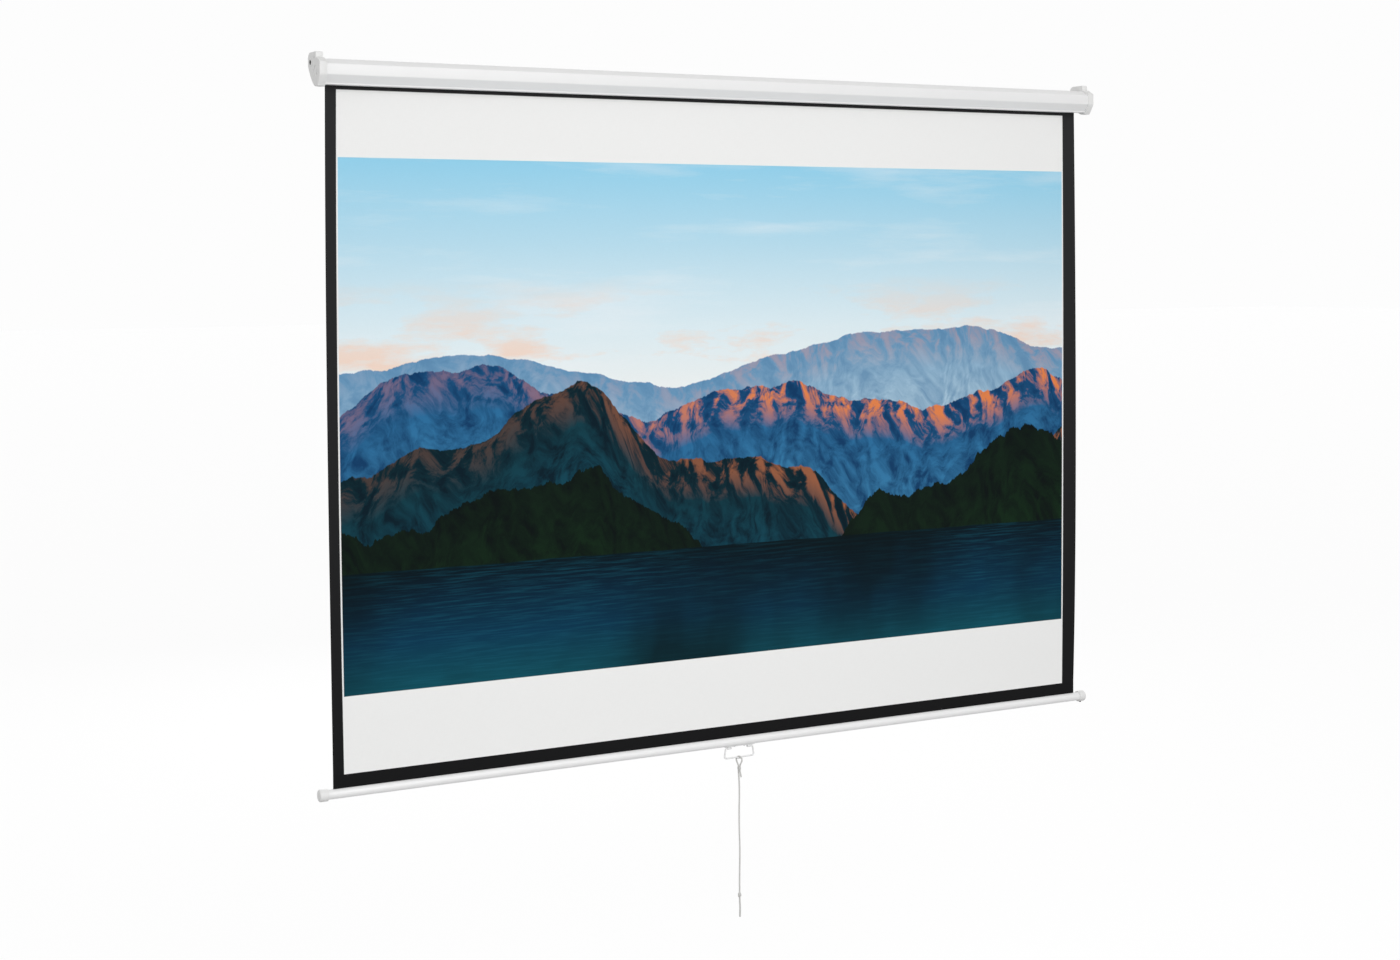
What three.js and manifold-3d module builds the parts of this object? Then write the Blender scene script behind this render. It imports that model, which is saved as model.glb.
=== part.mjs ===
// A manual pull down projector screen, fully drawn down: an eight-sided steel casing with end caps that
// hang on the wall, a spring roller with its catch, a white sheet with black borders, a weighted bottom
// bar, a swinging wire handle and a pull cord.
// Sizes are in millimetres. X runs along the casing, Y points into the wall and Z points up. The origin
// lies on the wall plane, midway between the end caps, at the height of their hanging holes.

import * as THREE from 'three';
import { mergeVertices } from 'three/addons/utils/BufferGeometryUtils.js';
import Module from 'manifold-3d';

// Sheet: a 100 inch picture, 4 to 3, with printed borders
const pictureWidth = 2032;
const pictureHeight = 1524;
const sideBorder = 30;
const bottomBorder = 30;
const leaderShown = 8;
const sheetThickness = 0.4;
const sheetToWall = 30;

// Casing section, as seen from its left end, with the room that it leaves round the turns of sheet
const casingTop = 7;
const roomInFront = 6.5;
const roomAbove = 8.5;
const roomBelow = 9.5;
const casingBackToSheet = 6;
const casingWall = 0.8;
const upperChamferHeight = 12.5;
const upperChamferDepth = 24;
const lowerChamferHeight = 17;
const lowerChamferDepth = 17;
const lowerFlange = 3.5;
const rearChamferHeight = 15;
const rearChamferDepth = 14;
const slotToSheet = 6;
const slotReturn = 5;
const rearWallRise = 16;

// End caps and their hanging ears
const capPastSheet = 29;
const capWidth = 17.2;
const capPlate = 3;
const capStandOff = 2;
const capFaceAbove = 4;
const capFaceBelow = 1;
const capChamferDepth = 20;
const capDrop = 5;
const capBottomAhead = 3;
const capBottomBack = 48;
const capEdge = 0.9;
const capBackShare = [[0.167, 0.298], [0.583, 0.936]];
const earTop = 22;
const earDepth = 52;
const earFrontRound = 3;
const earBackRound = 14;
const wallFaceBelow = 8;
const hangHoleRadius = 5.5;
const hangHoleToWall = 17;
const hangRimWall = 2.6;
const hangRimHeight = 0.8;
const hangRimStretch = 1.15;
const axleRecessRadius = 12;
const axleRecessDepth = 1;
const axleCrownRadius = 8.5;

// Small screws of the end caps
const earScrewToWall = 42;
const earScrewHeight = 9.5;
const earScrewRadius = 1.2;
const earScrewHeadRadius = 2.3;
const earScrewHead = 1.3;
const earScrewLength = 9;
const capScrewInset = 8;
const capScrewBehindFlange = 7;
const capScrewRadius = 1.5;
const capScrewHeadRadius = 2.9;
const capScrewHead = 1.6;
const capScrewSink = 2;
const capScrewReach = 4;

// Roller and the turns of sheet left on it
const rollerTubeRadius = 18.4;
const rollerTubeWall = 1.2;
const rollerEndPlay = 7;
const turnsLeft = 2;
const plugInsert = 20;
const plugFlange = 2;
const plugCollarRadius = 7;
const plugCollarPlay = 1;

// Idle end
const bossRadius = 9;
const bossLength = 11.2;
const idlePinRadius = 3.5;
const idlePinInPlug = 16;
const bushWall = 2.2;
const pinEndPlay = 1;

// Spring end
const spindleShare = 0.29;
const spindleTail = 6;
const tongueWidth = 8;
const tongueThickness = 3;
const bearingWall = 2;
const springCoilRadius = 9;
const springWireRadius = 0.9;
const springTurns = 26;
const springPitch = 6;
const springToCatch = 30;
const anchorWidth = 12;
const fixedAnchorRadius = 12;

// Catch
const catchToTubeEnd = 38;
const cupWidth = 12;
const cupWall = 3.7;
const notchWall = 1.5;
const notchCount = 4;
const notchAngle = 56;
const notchStart = 22;
const hubDiscPlay = 0.6;
const hubDiscWidth = 3;
const hubSleeveWall = 1.2;
const pawlPinShare = 0.22;
const pawlKnuckleShare = 0.43;
const pawlReachShare = 1.4;
const pawlTipDropShare = 0.19;
const pawlTipThicknessShare = 0.33;

// Bottom bar
const barRadius = 11;
const barWall = 1;
const barSlot = 2.4;
const barPastSheet = 34;
const barCapWall = 2.7;
const barCapSleeve = 17;
const barCapEnd = 3;
const barCapRound = 4;
const barScrewInset = 11;
const barScrewRadius = 1.5;
const barScrewHeadRadius = 3;
const barScrewHead = 2.4;
const barScrewReach = 6;
const hemThickness = 0.8;
const hemRodRadius = 4;

// Handle clip and wire handle
const clipLength = 82;
const clipWall = 1.2;
const clipHalfAngle = 35;
const knuckleRadius = 3.4;
const knuckleLength = 11;
const knuckleSink = 0.8;
const knuckleFromCentre = 22.5;
const rivetFromCentre = 14;
const rivetRadius = 1.5;
const rivetHeadRadius = 3;
const rivetHead = 1;
const rivetReach = 4;
const handleWireRadius = 2;
const handleTopHalf = 38;
const handleBottomHalf = 42;
const handleDrop = 25;
const handleDip = 3;
const handleDipHalf = 7;
const handleDipFlat = 2;
const handleTopBend = 4.5;
const handleBottomBend = 5;
const handleDipBend = 5;

// Pull cord. The route is listed from the middle of the handle's dip: along the loop's own direction,
// which is turned from X towards the room, and up.
const cordRadius = 2;
const cordEndRadius = 2.3;
const cordLoopTurn = -60;
const cordLoopRoute = [
  [-2.3, -20], [-2.4, -18.4], [-4.2, -14], [-6.6, -9.4], [-7.9, -5.4], [-7.75, -1.7], [-6.1, 1.5],
  [-3.2, 3.65], [0, 4.3], [3.2, 3.65], [6.1, 1.5], [7.75, -1.7], [7.9, -5.4], [6.6, -9.4],
  [4.2, -14], [2.4, -18.4], [2.3, -20],
];
const cordMainRoute = [
  [-2.2, -28.6], [-2.2, -31], [-1.8, -38], [-1, -48], [-0.3, -60], [0.2, -75], [0.2, -92], [-0.2, -110],
  [-0.6, -130], [-0.7, -150], [-0.5, -170], [-0.1, -190], [0.4, -210], [0.6, -230], [0.5, -250],
  [0.1, -270], [-0.3, -290], [-0.5, -310], [-0.4, -326], [-0.4, -334.7],
];
const cordTailRoute = [[2.3, -28.6], [2.3, -31], [3.2, -36], [4.6, -42], [5, -47.5]];
const cordEndRoute = [[-0.4, -347.3], [-0.4, -351], [0.2, -362], [0.7, -374], [0.4, -386], [0.2, -395.4]];
const tieTop = -20.3;
const tieHeight = 8;
const tieHalfWidth = 4.6;
const tieHalfDepth = 2.6;
const cordKnotTop = -335;
const cordKnotHeight = 12;
const cordKnotRadius = 4;

// Clearances and overruns
const seat = 0.3;
const overrun = 1;

// Facets
const roundSides = 36;
const smallSides = 16;
const wireSides = 8;
const springSides = 5;
const springSteps = 8;
const handleSteps = 56;
const loopSteps = 28;
const cordSteps = 40;
const endSteps = 8;
const bendSteps = 4;
const weld = 1e-4;

// Places worked out from the sizes above
const sheetY = -sheetToWall;
const sheetHalf = (pictureWidth + 2 * sideBorder) / 2;
const endToEnd = 2 * (sheetHalf + capPastSheet);
const barLength = 2 * (sheetHalf + barPastSheet);
const turnsInner = rollerTubeRadius + seat;
const turnsOuter = turnsInner + turnsLeft * sheetThickness;
const windingRadius = turnsOuter + seat + sheetThickness / 2;
const rollerY = sheetY - windingRadius;
const rollerZ = casingTop - roomAbove - turnsOuter;
const casingBottom = rollerZ - turnsOuter - roomBelow;
const casingFront = rollerY - turnsOuter - roomInFront;
const casingBack = sheetY + casingBackToSheet;
const frontFaceTop = casingTop - upperChamferHeight;
const frontFaceBottom = casingBottom + lowerFlange + lowerChamferHeight;
const lowerFront = casingFront + lowerChamferDepth;
const capScrewY = lowerFront + capScrewBehindFlange;
const pictureTop = casingBottom - leaderShown;
const pictureBottom = pictureTop - pictureHeight;
const barAxisZ = pictureBottom - bottomBorder - barRadius;
const barCapRadius = barRadius + seat + barCapWall;
const capFace = endToEnd / 2 - hangRimHeight;
const capInner = capFace - capWidth;
const capFloor = capFace - capPlate;
const capBottom = casingBottom - capDrop;
const casingHalf = capFloor - seat;
const bossEnd = capFloor - bossLength;
const tubeHalf = capInner - rollerEndPlay;
const tubeInner = rollerTubeRadius - rollerTubeWall;
const insertRadius = tubeInner - seat;
const spindleRadius = tubeInner * spindleShare;
const spindleBore = spindleRadius + seat;
const catchStart = tubeHalf - catchToTubeEnd;
const springEnd = catchStart - springToCatch;
const springStart = springEnd - springTurns * springPitch;
const cupInnerRadius = insertRadius - cupWall;
const notchRadius = insertRadius - notchWall;
const hubDiscRadius = cupInnerRadius - hubDiscPlay;
const hubSleeveRadius = spindleBore + hubSleeveWall;
const catchRoom = cupInnerRadius - hubSleeveRadius;
const pawlPivotRadius = hubSleeveRadius + catchRoom / 2;
const pawlPinRadius = catchRoom * pawlPinShare;
const pawlKnuckleRadius = catchRoom * pawlKnuckleShare;
const pawlReach = catchRoom * pawlReachShare;
const pawlTipDrop = catchRoom * pawlTipDropShare;
const pawlTipThickness = catchRoom * pawlTipThicknessShare;
const clipOuter = barRadius + seat + clipWall;
const pivotDrop = clipOuter + knuckleRadius - knuckleSink;
const dipDrop = handleDrop + handleDip;

// Materials
function finish(color, roughness, metalness = 0) {
  return new THREE.MeshStandardMaterial({ color, roughness, metalness });
}

const whitePaint = finish(0xe9e9e7, 0.4);
const whitePlastic = finish(0xe2e2df, 0.5);
const greyPlastic = finish(0x6b6d70, 0.6);
const sheetWhite = finish(0xf2f2ef, 0.9);
const sheetBlack = finish(0x1c1c1d, 0.85);
const cordWhite = finish(0xe6e5e0, 0.9);
const brightSteel = finish(0xb9bbbd, 0.3, 1);
const springSteel = finish(0x5f6266, 0.35, 1);
const darkSteel = finish(0x2a2a2b, 0.45, 1);
const rollerAluminium = finish(0xc4c6c8, 0.35, 1);

// Solids

const wasm = await Module();
wasm.setup();

// Merges a closed geometry's vertices, drops its empty triangles and turns its faces outwards.
function closed(geometry) {
  const plain = geometry.index ? geometry.toNonIndexed() : geometry.clone();
  plain.deleteAttribute('normal');
  plain.deleteAttribute('uv');
  const merged = mergeVertices(plain, weld);
  const places = merged.attributes.position;
  const corner = (index) => new THREE.Vector3().fromBufferAttribute(places, index);
  const faces = [];
  let volume = 0;
  for (let start = 0; start < merged.index.count; start += 3) {
    const [a, b, c] = [0, 1, 2].map((step) => merged.index.getX(start + step));
    if (a !== b && b !== c && c !== a) {
      faces.push([a, b, c]);
      volume += corner(a).dot(corner(b).cross(corner(c)));
    }
  }
  const turned = volume < 0 ? faces.map(([a, b, c]) => [a, c, b]) : faces;
  merged.setIndex(turned.flat());
  merged.computeVertexNormals();
  return merged;
}

// Turns a closed geometry into a solid that can be joined and cut.
function toSolid(geometry) {
  const mesh = closed(geometry);
  const vertProperties = new Float32Array(mesh.attributes.position.array);
  const triVerts = new Uint32Array(mesh.index.array);
  return new wasm.Manifold(new wasm.Mesh({ numProp: 3, vertProperties, triVerts }));
}

function fromSolid(solid) {
  const mesh = solid.getMesh();
  const geometry = new THREE.BufferGeometry();
  geometry.setAttribute('position', new THREE.BufferAttribute(mesh.vertProperties, mesh.numProp));
  geometry.setIndex(new THREE.BufferAttribute(mesh.triVerts, 1));
  geometry.computeVertexNormals();
  return geometry;
}

// Joins the extra geometries to the first one, then takes the cuts away.
function carved(base, joins, cuts) {
  let solid = toSolid(base);
  for (const join of joins) solid = solid.add(toSolid(join));
  for (const cut of cuts) solid = solid.subtract(toSolid(cut));
  return fromSolid(solid);
}

function points(pairs) {
  return pairs.map(([across, up]) => new THREE.Vector2(across, up));
}

function circlePoints(radius, sides = roundSides, across = 0, up = 0) {
  return Array.from({ length: sides }, (_, step) => {
    const angle = 2 * Math.PI * (step + 0.5) / sides;
    return new THREE.Vector2(across + radius * Math.cos(angle), up + radius * Math.sin(angle));
  });
}

// Extrudes an outline in Y and Z along X, with small chamfers at both ends where an edge is given.
function alongX(outline, from, to, edge = 0) {
  const shape = outline instanceof THREE.Shape ? outline : new THREE.Shape(outline);
  const geometry = new THREE.ExtrudeGeometry(shape, {
    depth: to - from - 2 * edge,
    steps: 1,
    curveSegments: bendSteps * 2,
    bevelEnabled: edge > 0,
    bevelThickness: edge,
    bevelSize: edge,
    bevelOffset: -edge,
    bevelSegments: 1,
  });
  const toY = new THREE.Vector3(0, 1, 0);
  const toZ = new THREE.Vector3(0, 0, 1);
  const toX = new THREE.Vector3(1, 0, 0);
  geometry.applyMatrix4(new THREE.Matrix4().makeBasis(toY, toZ, toX));
  return geometry.translate(from + edge, 0, 0);
}

// Turns a profile of [place along X, radius] pairs about the X axis.
function turnedX(profile, sides = roundSides) {
  const geometry = new THREE.LatheGeometry(points(profile.map(([along, radius]) => [radius, along])), sides);
  const toZ = new THREE.Vector3(0, 0, 1);
  const toX = new THREE.Vector3(1, 0, 0);
  const toY = new THREE.Vector3(0, 1, 0);
  return geometry.applyMatrix4(new THREE.Matrix4().makeBasis(toZ, toX, toY));
}

// Turns a profile of [height, radius] pairs about the Z axis.
function turnedZ(profile, sides = smallSides) {
  const geometry = new THREE.LatheGeometry(points(profile.map(([up, radius]) => [radius, up])), sides);
  return geometry.rotateX(Math.PI / 2);
}

function rod(from, to, radius, sides = roundSides) {
  return turnedX([[from, 0], [from, radius], [to, radius], [to, 0]], sides);
}

function post(from, to, radius, sides = smallSides) {
  return turnedZ([[from, 0], [from, radius], [to, radius], [to, 0]], sides);
}

function ring(from, to, inner, outer, sides = roundSides) {
  return turnedX([[from, inner], [from, outer], [to, outer], [to, inner], [from, inner]], sides);
}

function block(x, y, z) {
  const size = [x, y, z].map(([low, high]) => high - low);
  const middle = [x, y, z].map(([low, high]) => (low + high) / 2);
  return new THREE.BoxGeometry(...size).translate(...middle);
}

function tube(route, radius, steps, sides = wireSides) {
  const section = new THREE.Shape(circlePoints(radius, sides));
  const path = new THREE.CatmullRomCurve3(route, false, 'centripetal');
  return new THREE.ExtrudeGeometry(section, { steps, bevelEnabled: false, extrudePath: path });
}

function mirrored(geometry) {
  return geometry.clone().scale(-1, 1, 1);
}

// Moves a run of points to its right-hand side by a distance, with square mitres at its corners.
function beside(run, distance, isLoop = false) {
  const normals = run.map((start, index) => {
    const along = run[(index + 1) % run.length].clone().sub(start).normalize();
    return new THREE.Vector2(along.y, -along.x);
  });
  return run.map((place, index) => {
    const isFirst = index === 0 && !isLoop;
    const isLast = index === run.length - 1 && !isLoop;
    const before = normals[isFirst ? 0 : (index + run.length - 1) % run.length];
    const after = normals[isLast ? index - 1 : index];
    const mitre = before.clone().add(after).divideScalar(1 + before.dot(after));
    return place.clone().addScaledVector(mitre, distance);
  });
}

// Rounds the corners of a run of [across, up, bend radius] corners.
function roundedRun(corners) {
  const run = [];
  corners.forEach(([across, up, bend], index) => {
    const corner = new THREE.Vector2(across, up);
    if (!bend) {
      run.push(corner);
      return;
    }
    const before = new THREE.Vector2(...corners[index - 1]).sub(corner).normalize();
    const after = new THREE.Vector2(...corners[index + 1]).sub(corner).normalize();
    const half = Math.acos(before.dot(after)) / 2;
    const reach = bend / Math.tan(half);
    const from = corner.clone().addScaledVector(before, reach);
    const to = corner.clone().addScaledVector(after, reach);
    const arc = new THREE.QuadraticBezierCurve(from, corner, to);
    run.push(...arc.getPoints(bendSteps));
  });
  return run;
}

// Casing

// The sheet metal's outer run, from the slot's front return round the front and top to the rear edge.
function casingRun() {
  const slotFront = sheetY - slotToSheet;
  return points([
    [slotFront, casingBottom + slotReturn],
    [slotFront, casingBottom],
    [lowerFront, casingBottom],
    [lowerFront, casingBottom + lowerFlange],
    [casingFront, frontFaceBottom],
    [casingFront, frontFaceTop],
    [casingFront + upperChamferDepth, casingTop],
    [casingBack - rearChamferDepth, casingTop],
    [casingBack, casingTop - rearChamferHeight],
    [casingBack, casingBottom + rearWallRise],
  ]);
}

function capScrewHole(side, radius, from, to) {
  return post(from, to, radius).translate(side * (capInner + capScrewInset), capScrewY, 0);
}

function casingShell() {
  const outer = casingRun();
  const inner = beside(outer, casingWall);
  const shell = alongX([...outer, ...inner.reverse()], -casingHalf, casingHalf);
  const holeRadius = capScrewRadius + seat;
  const holes = [-1, 1].map((side) => {
    return capScrewHole(side, holeRadius, casingBottom - overrun, casingBottom + casingWall + overrun);
  });
  return carved(shell, [], holes);
}

// End caps

function capOutline() {
  const front = casingFront - capStandOff;
  const top = casingTop + capStandOff;
  const faceTop = frontFaceTop + capFaceAbove;
  const faceBottom = frontFaceBottom - capFaceBelow;
  const backDrop = -capBottom - wallFaceBelow;
  const backHandles = capBackShare.map(([depthShare, dropShare]) => {
    return [-depthShare * capBottomBack, -wallFaceBelow - dropShare * backDrop];
  });
  const outline = new THREE.Shape();
  outline.moveTo(lowerFront - capBottomAhead, capBottom);
  outline.lineTo(front, faceBottom);
  outline.lineTo(front, faceTop);
  outline.lineTo(front + capChamferDepth, top);
  outline.lineTo(-earDepth, top);
  outline.lineTo(-earDepth, earTop - earFrontRound);
  outline.quadraticCurveTo(-earDepth, earTop, earFrontRound - earDepth, earTop);
  outline.lineTo(-earBackRound, earTop);
  outline.absarc(-earBackRound, earTop - earBackRound, earBackRound, Math.PI / 2, 0, true);
  outline.lineTo(0, -wallFaceBelow);
  outline.bezierCurveTo(...backHandles[0], ...backHandles[1], -capBottomBack, capBottom);
  outline.closePath();
  return outline;
}

// The right end cap, with its boss bored to take the roller's pin, bush or spindle.
function endCap(bore) {
  const body = alongX(capOutline(), capInner, capFace, capEdge);
  const casingLoop = casingRun().slice(1);
  const pocket = alongX(beside(casingLoop, -seat, true), capInner - overrun, capFloor);
  const boss = rod(bossEnd, capFloor + overrun, bossRadius).translate(0, rollerY, rollerZ);
  const rim = rod(capFace - overrun, capFace + hangRimHeight, hangHoleRadius + hangRimWall)
    .scale(1, 1, hangRimStretch)
    .translate(0, -hangHoleToWall, 0);
  const hangHole = rod(capInner - overrun, endToEnd / 2 + overrun, hangHoleRadius)
    .translate(0, -hangHoleToWall, 0);
  const recess = ring(capFace - axleRecessDepth, capFace + overrun, axleCrownRadius, axleRecessRadius)
    .translate(0, rollerY, rollerZ);
  const earSeat = capFace - earScrewHead - seat;
  const earHead = rod(earSeat, capFace + overrun, earScrewHeadRadius + seat, smallSides);
  const earShank = rod(earSeat - earScrewLength - seat, earSeat + overrun, earScrewRadius + seat, smallSides);
  const earHoles = [earHead, earShank].map((hole) => hole.translate(0, -earScrewToWall, earScrewHeight));
  const headSeat = capBottom + capScrewSink;
  const headHole = capScrewHole(1, capScrewHeadRadius + seat, capBottom - overrun, headSeat);
  const shankHole = capScrewHole(1, capScrewRadius + seat, capBottom, casingBottom + overrun);
  const shell = carved(body, [rim], [pocket]);
  return carved(shell, [boss], [bore, hangHole, recess, ...earHoles, headHole, shankHole]);
}

function leftCap() {
  const boreRadius = idlePinRadius + seat + bushWall + seat;
  const bore = rod(bossEnd - overrun, capFloor, boreRadius).translate(0, rollerY, rollerZ);
  return mirrored(endCap(bore));
}

function rightCap() {
  const halfWidth = tongueWidth / 2 + seat;
  const halfThickness = tongueThickness / 2 + seat;
  const bore = block([bossEnd - overrun, capFloor], [-halfThickness, halfThickness], [-halfWidth, halfWidth])
    .translate(0, rollerY, rollerZ);
  return endCap(bore);
}

function earScrew(side) {
  const headBack = capFace - earScrewHead;
  const screw = turnedX([
    [headBack - earScrewLength, 0],
    [headBack - earScrewLength, earScrewRadius],
    [headBack, earScrewRadius],
    [headBack, earScrewHeadRadius],
    [capFace, earScrewHeadRadius],
    [capFace, 0],
  ], smallSides).translate(0, -earScrewToWall, earScrewHeight);
  return side < 0 ? mirrored(screw) : screw;
}

function capScrew(side) {
  const headTop = capBottom + capScrewSink - seat;
  const shankTop = casingBottom + capScrewReach;
  return turnedZ([
    [headTop - capScrewHead, 0],
    [headTop - capScrewHead, capScrewHeadRadius],
    [headTop, capScrewHeadRadius],
    [headTop, capScrewRadius],
    [shankTop, capScrewRadius],
    [shankTop, 0],
  ]).translate(side * (capInner + capScrewInset), capScrewY, 0);
}

// Roller, listed from its own axis

function rollerTube() {
  return ring(-tubeHalf, tubeHalf, tubeInner, rollerTubeRadius);
}

function sheetTurns() {
  return ring(-sheetHalf, sheetHalf, turnsInner, turnsOuter);
}

function idlePlug() {
  const flange = tubeHalf + seat;
  const collar = bossEnd - plugCollarPlay;
  const bore = idlePinRadius + seat;
  return mirrored(turnedX([
    [tubeHalf - plugInsert, 0],
    [tubeHalf - plugInsert, insertRadius],
    [flange, insertRadius],
    [flange, rollerTubeRadius],
    [flange + plugFlange, rollerTubeRadius],
    [flange + plugFlange, plugCollarRadius],
    [collar, plugCollarRadius],
    [collar, bore],
    [collar - idlePinInPlug, bore],
    [collar - idlePinInPlug, 0],
  ]));
}

function idlePin() {
  const inner = bossEnd - plugCollarPlay - idlePinInPlug + seat;
  return mirrored(rod(inner, capFloor - pinEndPlay, idlePinRadius));
}

function idleBush() {
  const inner = idlePinRadius + seat;
  return mirrored(ring(bossEnd, capFloor - seat, inner, inner + bushWall));
}

function springPlug() {
  const flange = tubeHalf + seat;
  const bore = spindleBore + bearingWall + seat;
  return turnedX([
    [tubeHalf - plugInsert, bore],
    [tubeHalf - plugInsert, insertRadius],
    [flange, insertRadius],
    [flange, rollerTubeRadius],
    [flange + plugFlange, rollerTubeRadius],
    [flange + plugFlange, bore],
    [tubeHalf - plugInsert, bore],
  ]);
}

function springBearing() {
  return ring(tubeHalf - plugInsert, bossEnd - plugCollarPlay, spindleBore, spindleBore + bearingWall);
}

function turningAnchor() {
  const start = springEnd + springWireRadius + seat;
  return ring(start, start + anchorWidth, spindleBore, insertRadius);
}

function fixedAnchor() {
  const end = springStart - springWireRadius - seat;
  return ring(end - anchorWidth, end, spindleBore, fixedAnchorRadius);
}

// The fixed spindle inside the spring, with the flat tongue that keeps it from turning.
function spindle() {
  const tail = springStart - springWireRadius - seat - anchorWidth - spindleTail;
  const shoulder = bossEnd - plugCollarPlay;
  const round = rod(tail, shoulder, spindleRadius);
  const halfWidth = tongueWidth / 2;
  const halfThickness = tongueThickness / 2;
  const tongueEnds = [shoulder - overrun, capFloor - pinEndPlay];
  const tongue = block(tongueEnds, [-halfThickness, halfThickness], [-halfWidth, halfWidth]);
  return carved(round, [tongue], []);
}

class SpringCoil extends THREE.Curve {
  getPoint(share, target = new THREE.Vector3()) {
    const angle = 2 * Math.PI * springTurns * share;
    const along = springStart + (springEnd - springStart) * share;
    return target.set(along, springCoilRadius * Math.cos(angle), springCoilRadius * Math.sin(angle));
  }
}

function torsionSpring() {
  const section = new THREE.Shape(circlePoints(springWireRadius, springSides));
  const steps = springTurns * springSteps;
  return new THREE.ExtrudeGeometry(section, { steps, bevelEnabled: false, extrudePath: new SpringCoil() });
}

// Catch inside the roller's spring end

function ratchetCup() {
  const pitch = 360 / notchCount;
  const inner = [];
  const arc = (radius, from, to) => {
    for (let step = 0; step <= bendSteps; step += 1) {
      const angle = THREE.MathUtils.degToRad(from + (to - from) * step / bendSteps);
      inner.push(new THREE.Vector2(radius * Math.cos(angle), radius * Math.sin(angle)));
    }
  };
  for (let notch = 0; notch < notchCount; notch += 1) {
    const start = notchStart + notch * pitch;
    arc(notchRadius, start, start + notchAngle);
    arc(cupInnerRadius, start + notchAngle, start + pitch);
  }
  const outline = new THREE.Shape(circlePoints(insertRadius));
  outline.holes.push(new THREE.Path(inner));
  return alongX(outline, catchStart, catchStart + cupWidth);
}

function catchHub() {
  const discStart = catchStart + cupWidth + seat;
  const discEnd = discStart + hubDiscWidth;
  const sleeve = ring(catchStart, discEnd, spindleBore, hubSleeveRadius);
  const disc = ring(discStart, discEnd, spindleBore, hubDiscRadius);
  const pinHole = rod(discStart - overrun, discEnd + overrun, pawlPinRadius + seat, smallSides)
    .translate(0, 0, pawlPivotRadius);
  return carved(sleeve, [disc], [pinHole]);
}

function pawlPin() {
  const end = catchStart + cupWidth + seat + hubDiscWidth;
  return rod(catchStart + seat, end, pawlPinRadius, smallSides).translate(0, 0, pawlPivotRadius);
}

// The pawl is listed from its own pivot.
function catchPawl() {
  const from = catchStart + overrun;
  const to = catchStart + cupWidth - overrun;
  const knuckle = rod(from, to, pawlKnuckleRadius, smallSides);
  const root = pawlKnuckleRadius - seat;
  const arm = alongX(points([
    [0, root],
    [pawlReach, -pawlTipDrop],
    [pawlReach, -pawlTipDrop - pawlTipThickness],
    [0, -root],
  ]), from, to);
  const hole = rod(from - overrun, to + overrun, pawlPinRadius + seat, smallSides);
  return carved(knuckle, [arm], [hole]);
}

// Sheet

function projectionSheet() {
  const half = sheetThickness / 2;
  return block([-sheetHalf, sheetHalf], [sheetY - half, sheetY + half], [pictureBottom, rollerZ]);
}

// Bottom bar, listed from its own axis

function slottedTube(radius, wall, slot, half) {
  const arc = (arcRadius) => {
    const open = Math.asin(slot / 2 / arcRadius);
    const sweep = 2 * Math.PI - 2 * open;
    return Array.from({ length: roundSides + 1 }, (_, step) => {
      const angle = Math.PI / 2 + open + sweep * step / roundSides;
      return new THREE.Vector2(arcRadius * Math.cos(angle), arcRadius * Math.sin(angle));
    });
  };
  return alongX([...arc(radius), ...arc(radius - wall).reverse()], -half, half);
}

function barTube() {
  const half = barLength / 2 - barCapEnd - seat;
  const tubeSolid = slottedTube(barRadius, barWall, barSlot, half);
  const screwHole = post(-barRadius - overrun, overrun - barRadius + barWall, barScrewRadius + seat)
    .translate(barLength / 2 - barScrewInset, 0, 0);
  const rivetHoles = [-1, 1].map((side) => {
    return post(-barRadius - overrun, overrun - barRadius + barWall, rivetRadius + seat)
      .translate(side * rivetFromCentre, 0, 0);
  });
  return carved(tubeSolid, [], [screwHole, ...rivetHoles]);
}

function barCap() {
  const end = barLength / 2;
  const floor = end - barCapEnd;
  const mouth = floor - barCapSleeve;
  const bore = barRadius + seat;
  const round = Array.from({ length: bendSteps + 1 }, (_, step) => {
    const angle = Math.PI / 2 * step / bendSteps;
    return [
      end - barCapRound * (1 - Math.sin(angle)),
      barCapRadius - barCapRound * (1 - Math.cos(angle)),
    ];
  });
  return turnedX([[floor, 0], [floor, bore], [mouth, bore], [mouth, barCapRadius], ...round, [end, 0]]);
}

function rightBarCap() {
  const hole = post(-barCapRadius - overrun, overrun - barRadius, barScrewRadius + seat)
    .translate(barLength / 2 - barScrewInset, 0, 0);
  return carved(barCap(), [], [hole]);
}

// A pan head screw or rivet that points up, with the top of its head at the given height.
function panHead(headTop, head, headRadius, shankRadius, reach) {
  return turnedZ([
    [headTop - head, 0],
    [headTop - head, headRadius - head / 2],
    [headTop - head / 2, headRadius],
    [headTop, headRadius],
    [headTop, shankRadius],
    [headTop + reach, shankRadius],
    [headTop + reach, 0],
  ]);
}

function barCapScrew() {
  return panHead(-barCapRadius - seat, barScrewHead, barScrewHeadRadius, barScrewRadius, barScrewReach)
    .translate(barLength / 2 - barScrewInset, 0, 0);
}

function hemRodHeight() {
  return barRadius - barWall - seat - hemRodRadius;
}

function bottomHem() {
  const half = hemThickness / 2;
  const top = barRadius + bottomBorder - seat;
  const bottom = hemRodHeight() + hemRodRadius + seat;
  return block([-sheetHalf, sheetHalf], [-half, half], [bottom, top]);
}

function hemRod() {
  return rod(-sheetHalf, sheetHalf, hemRodRadius, smallSides).translate(0, 0, hemRodHeight());
}

// Handle clip under the bar, with the two knuckles that the wire handle turns in

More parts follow.
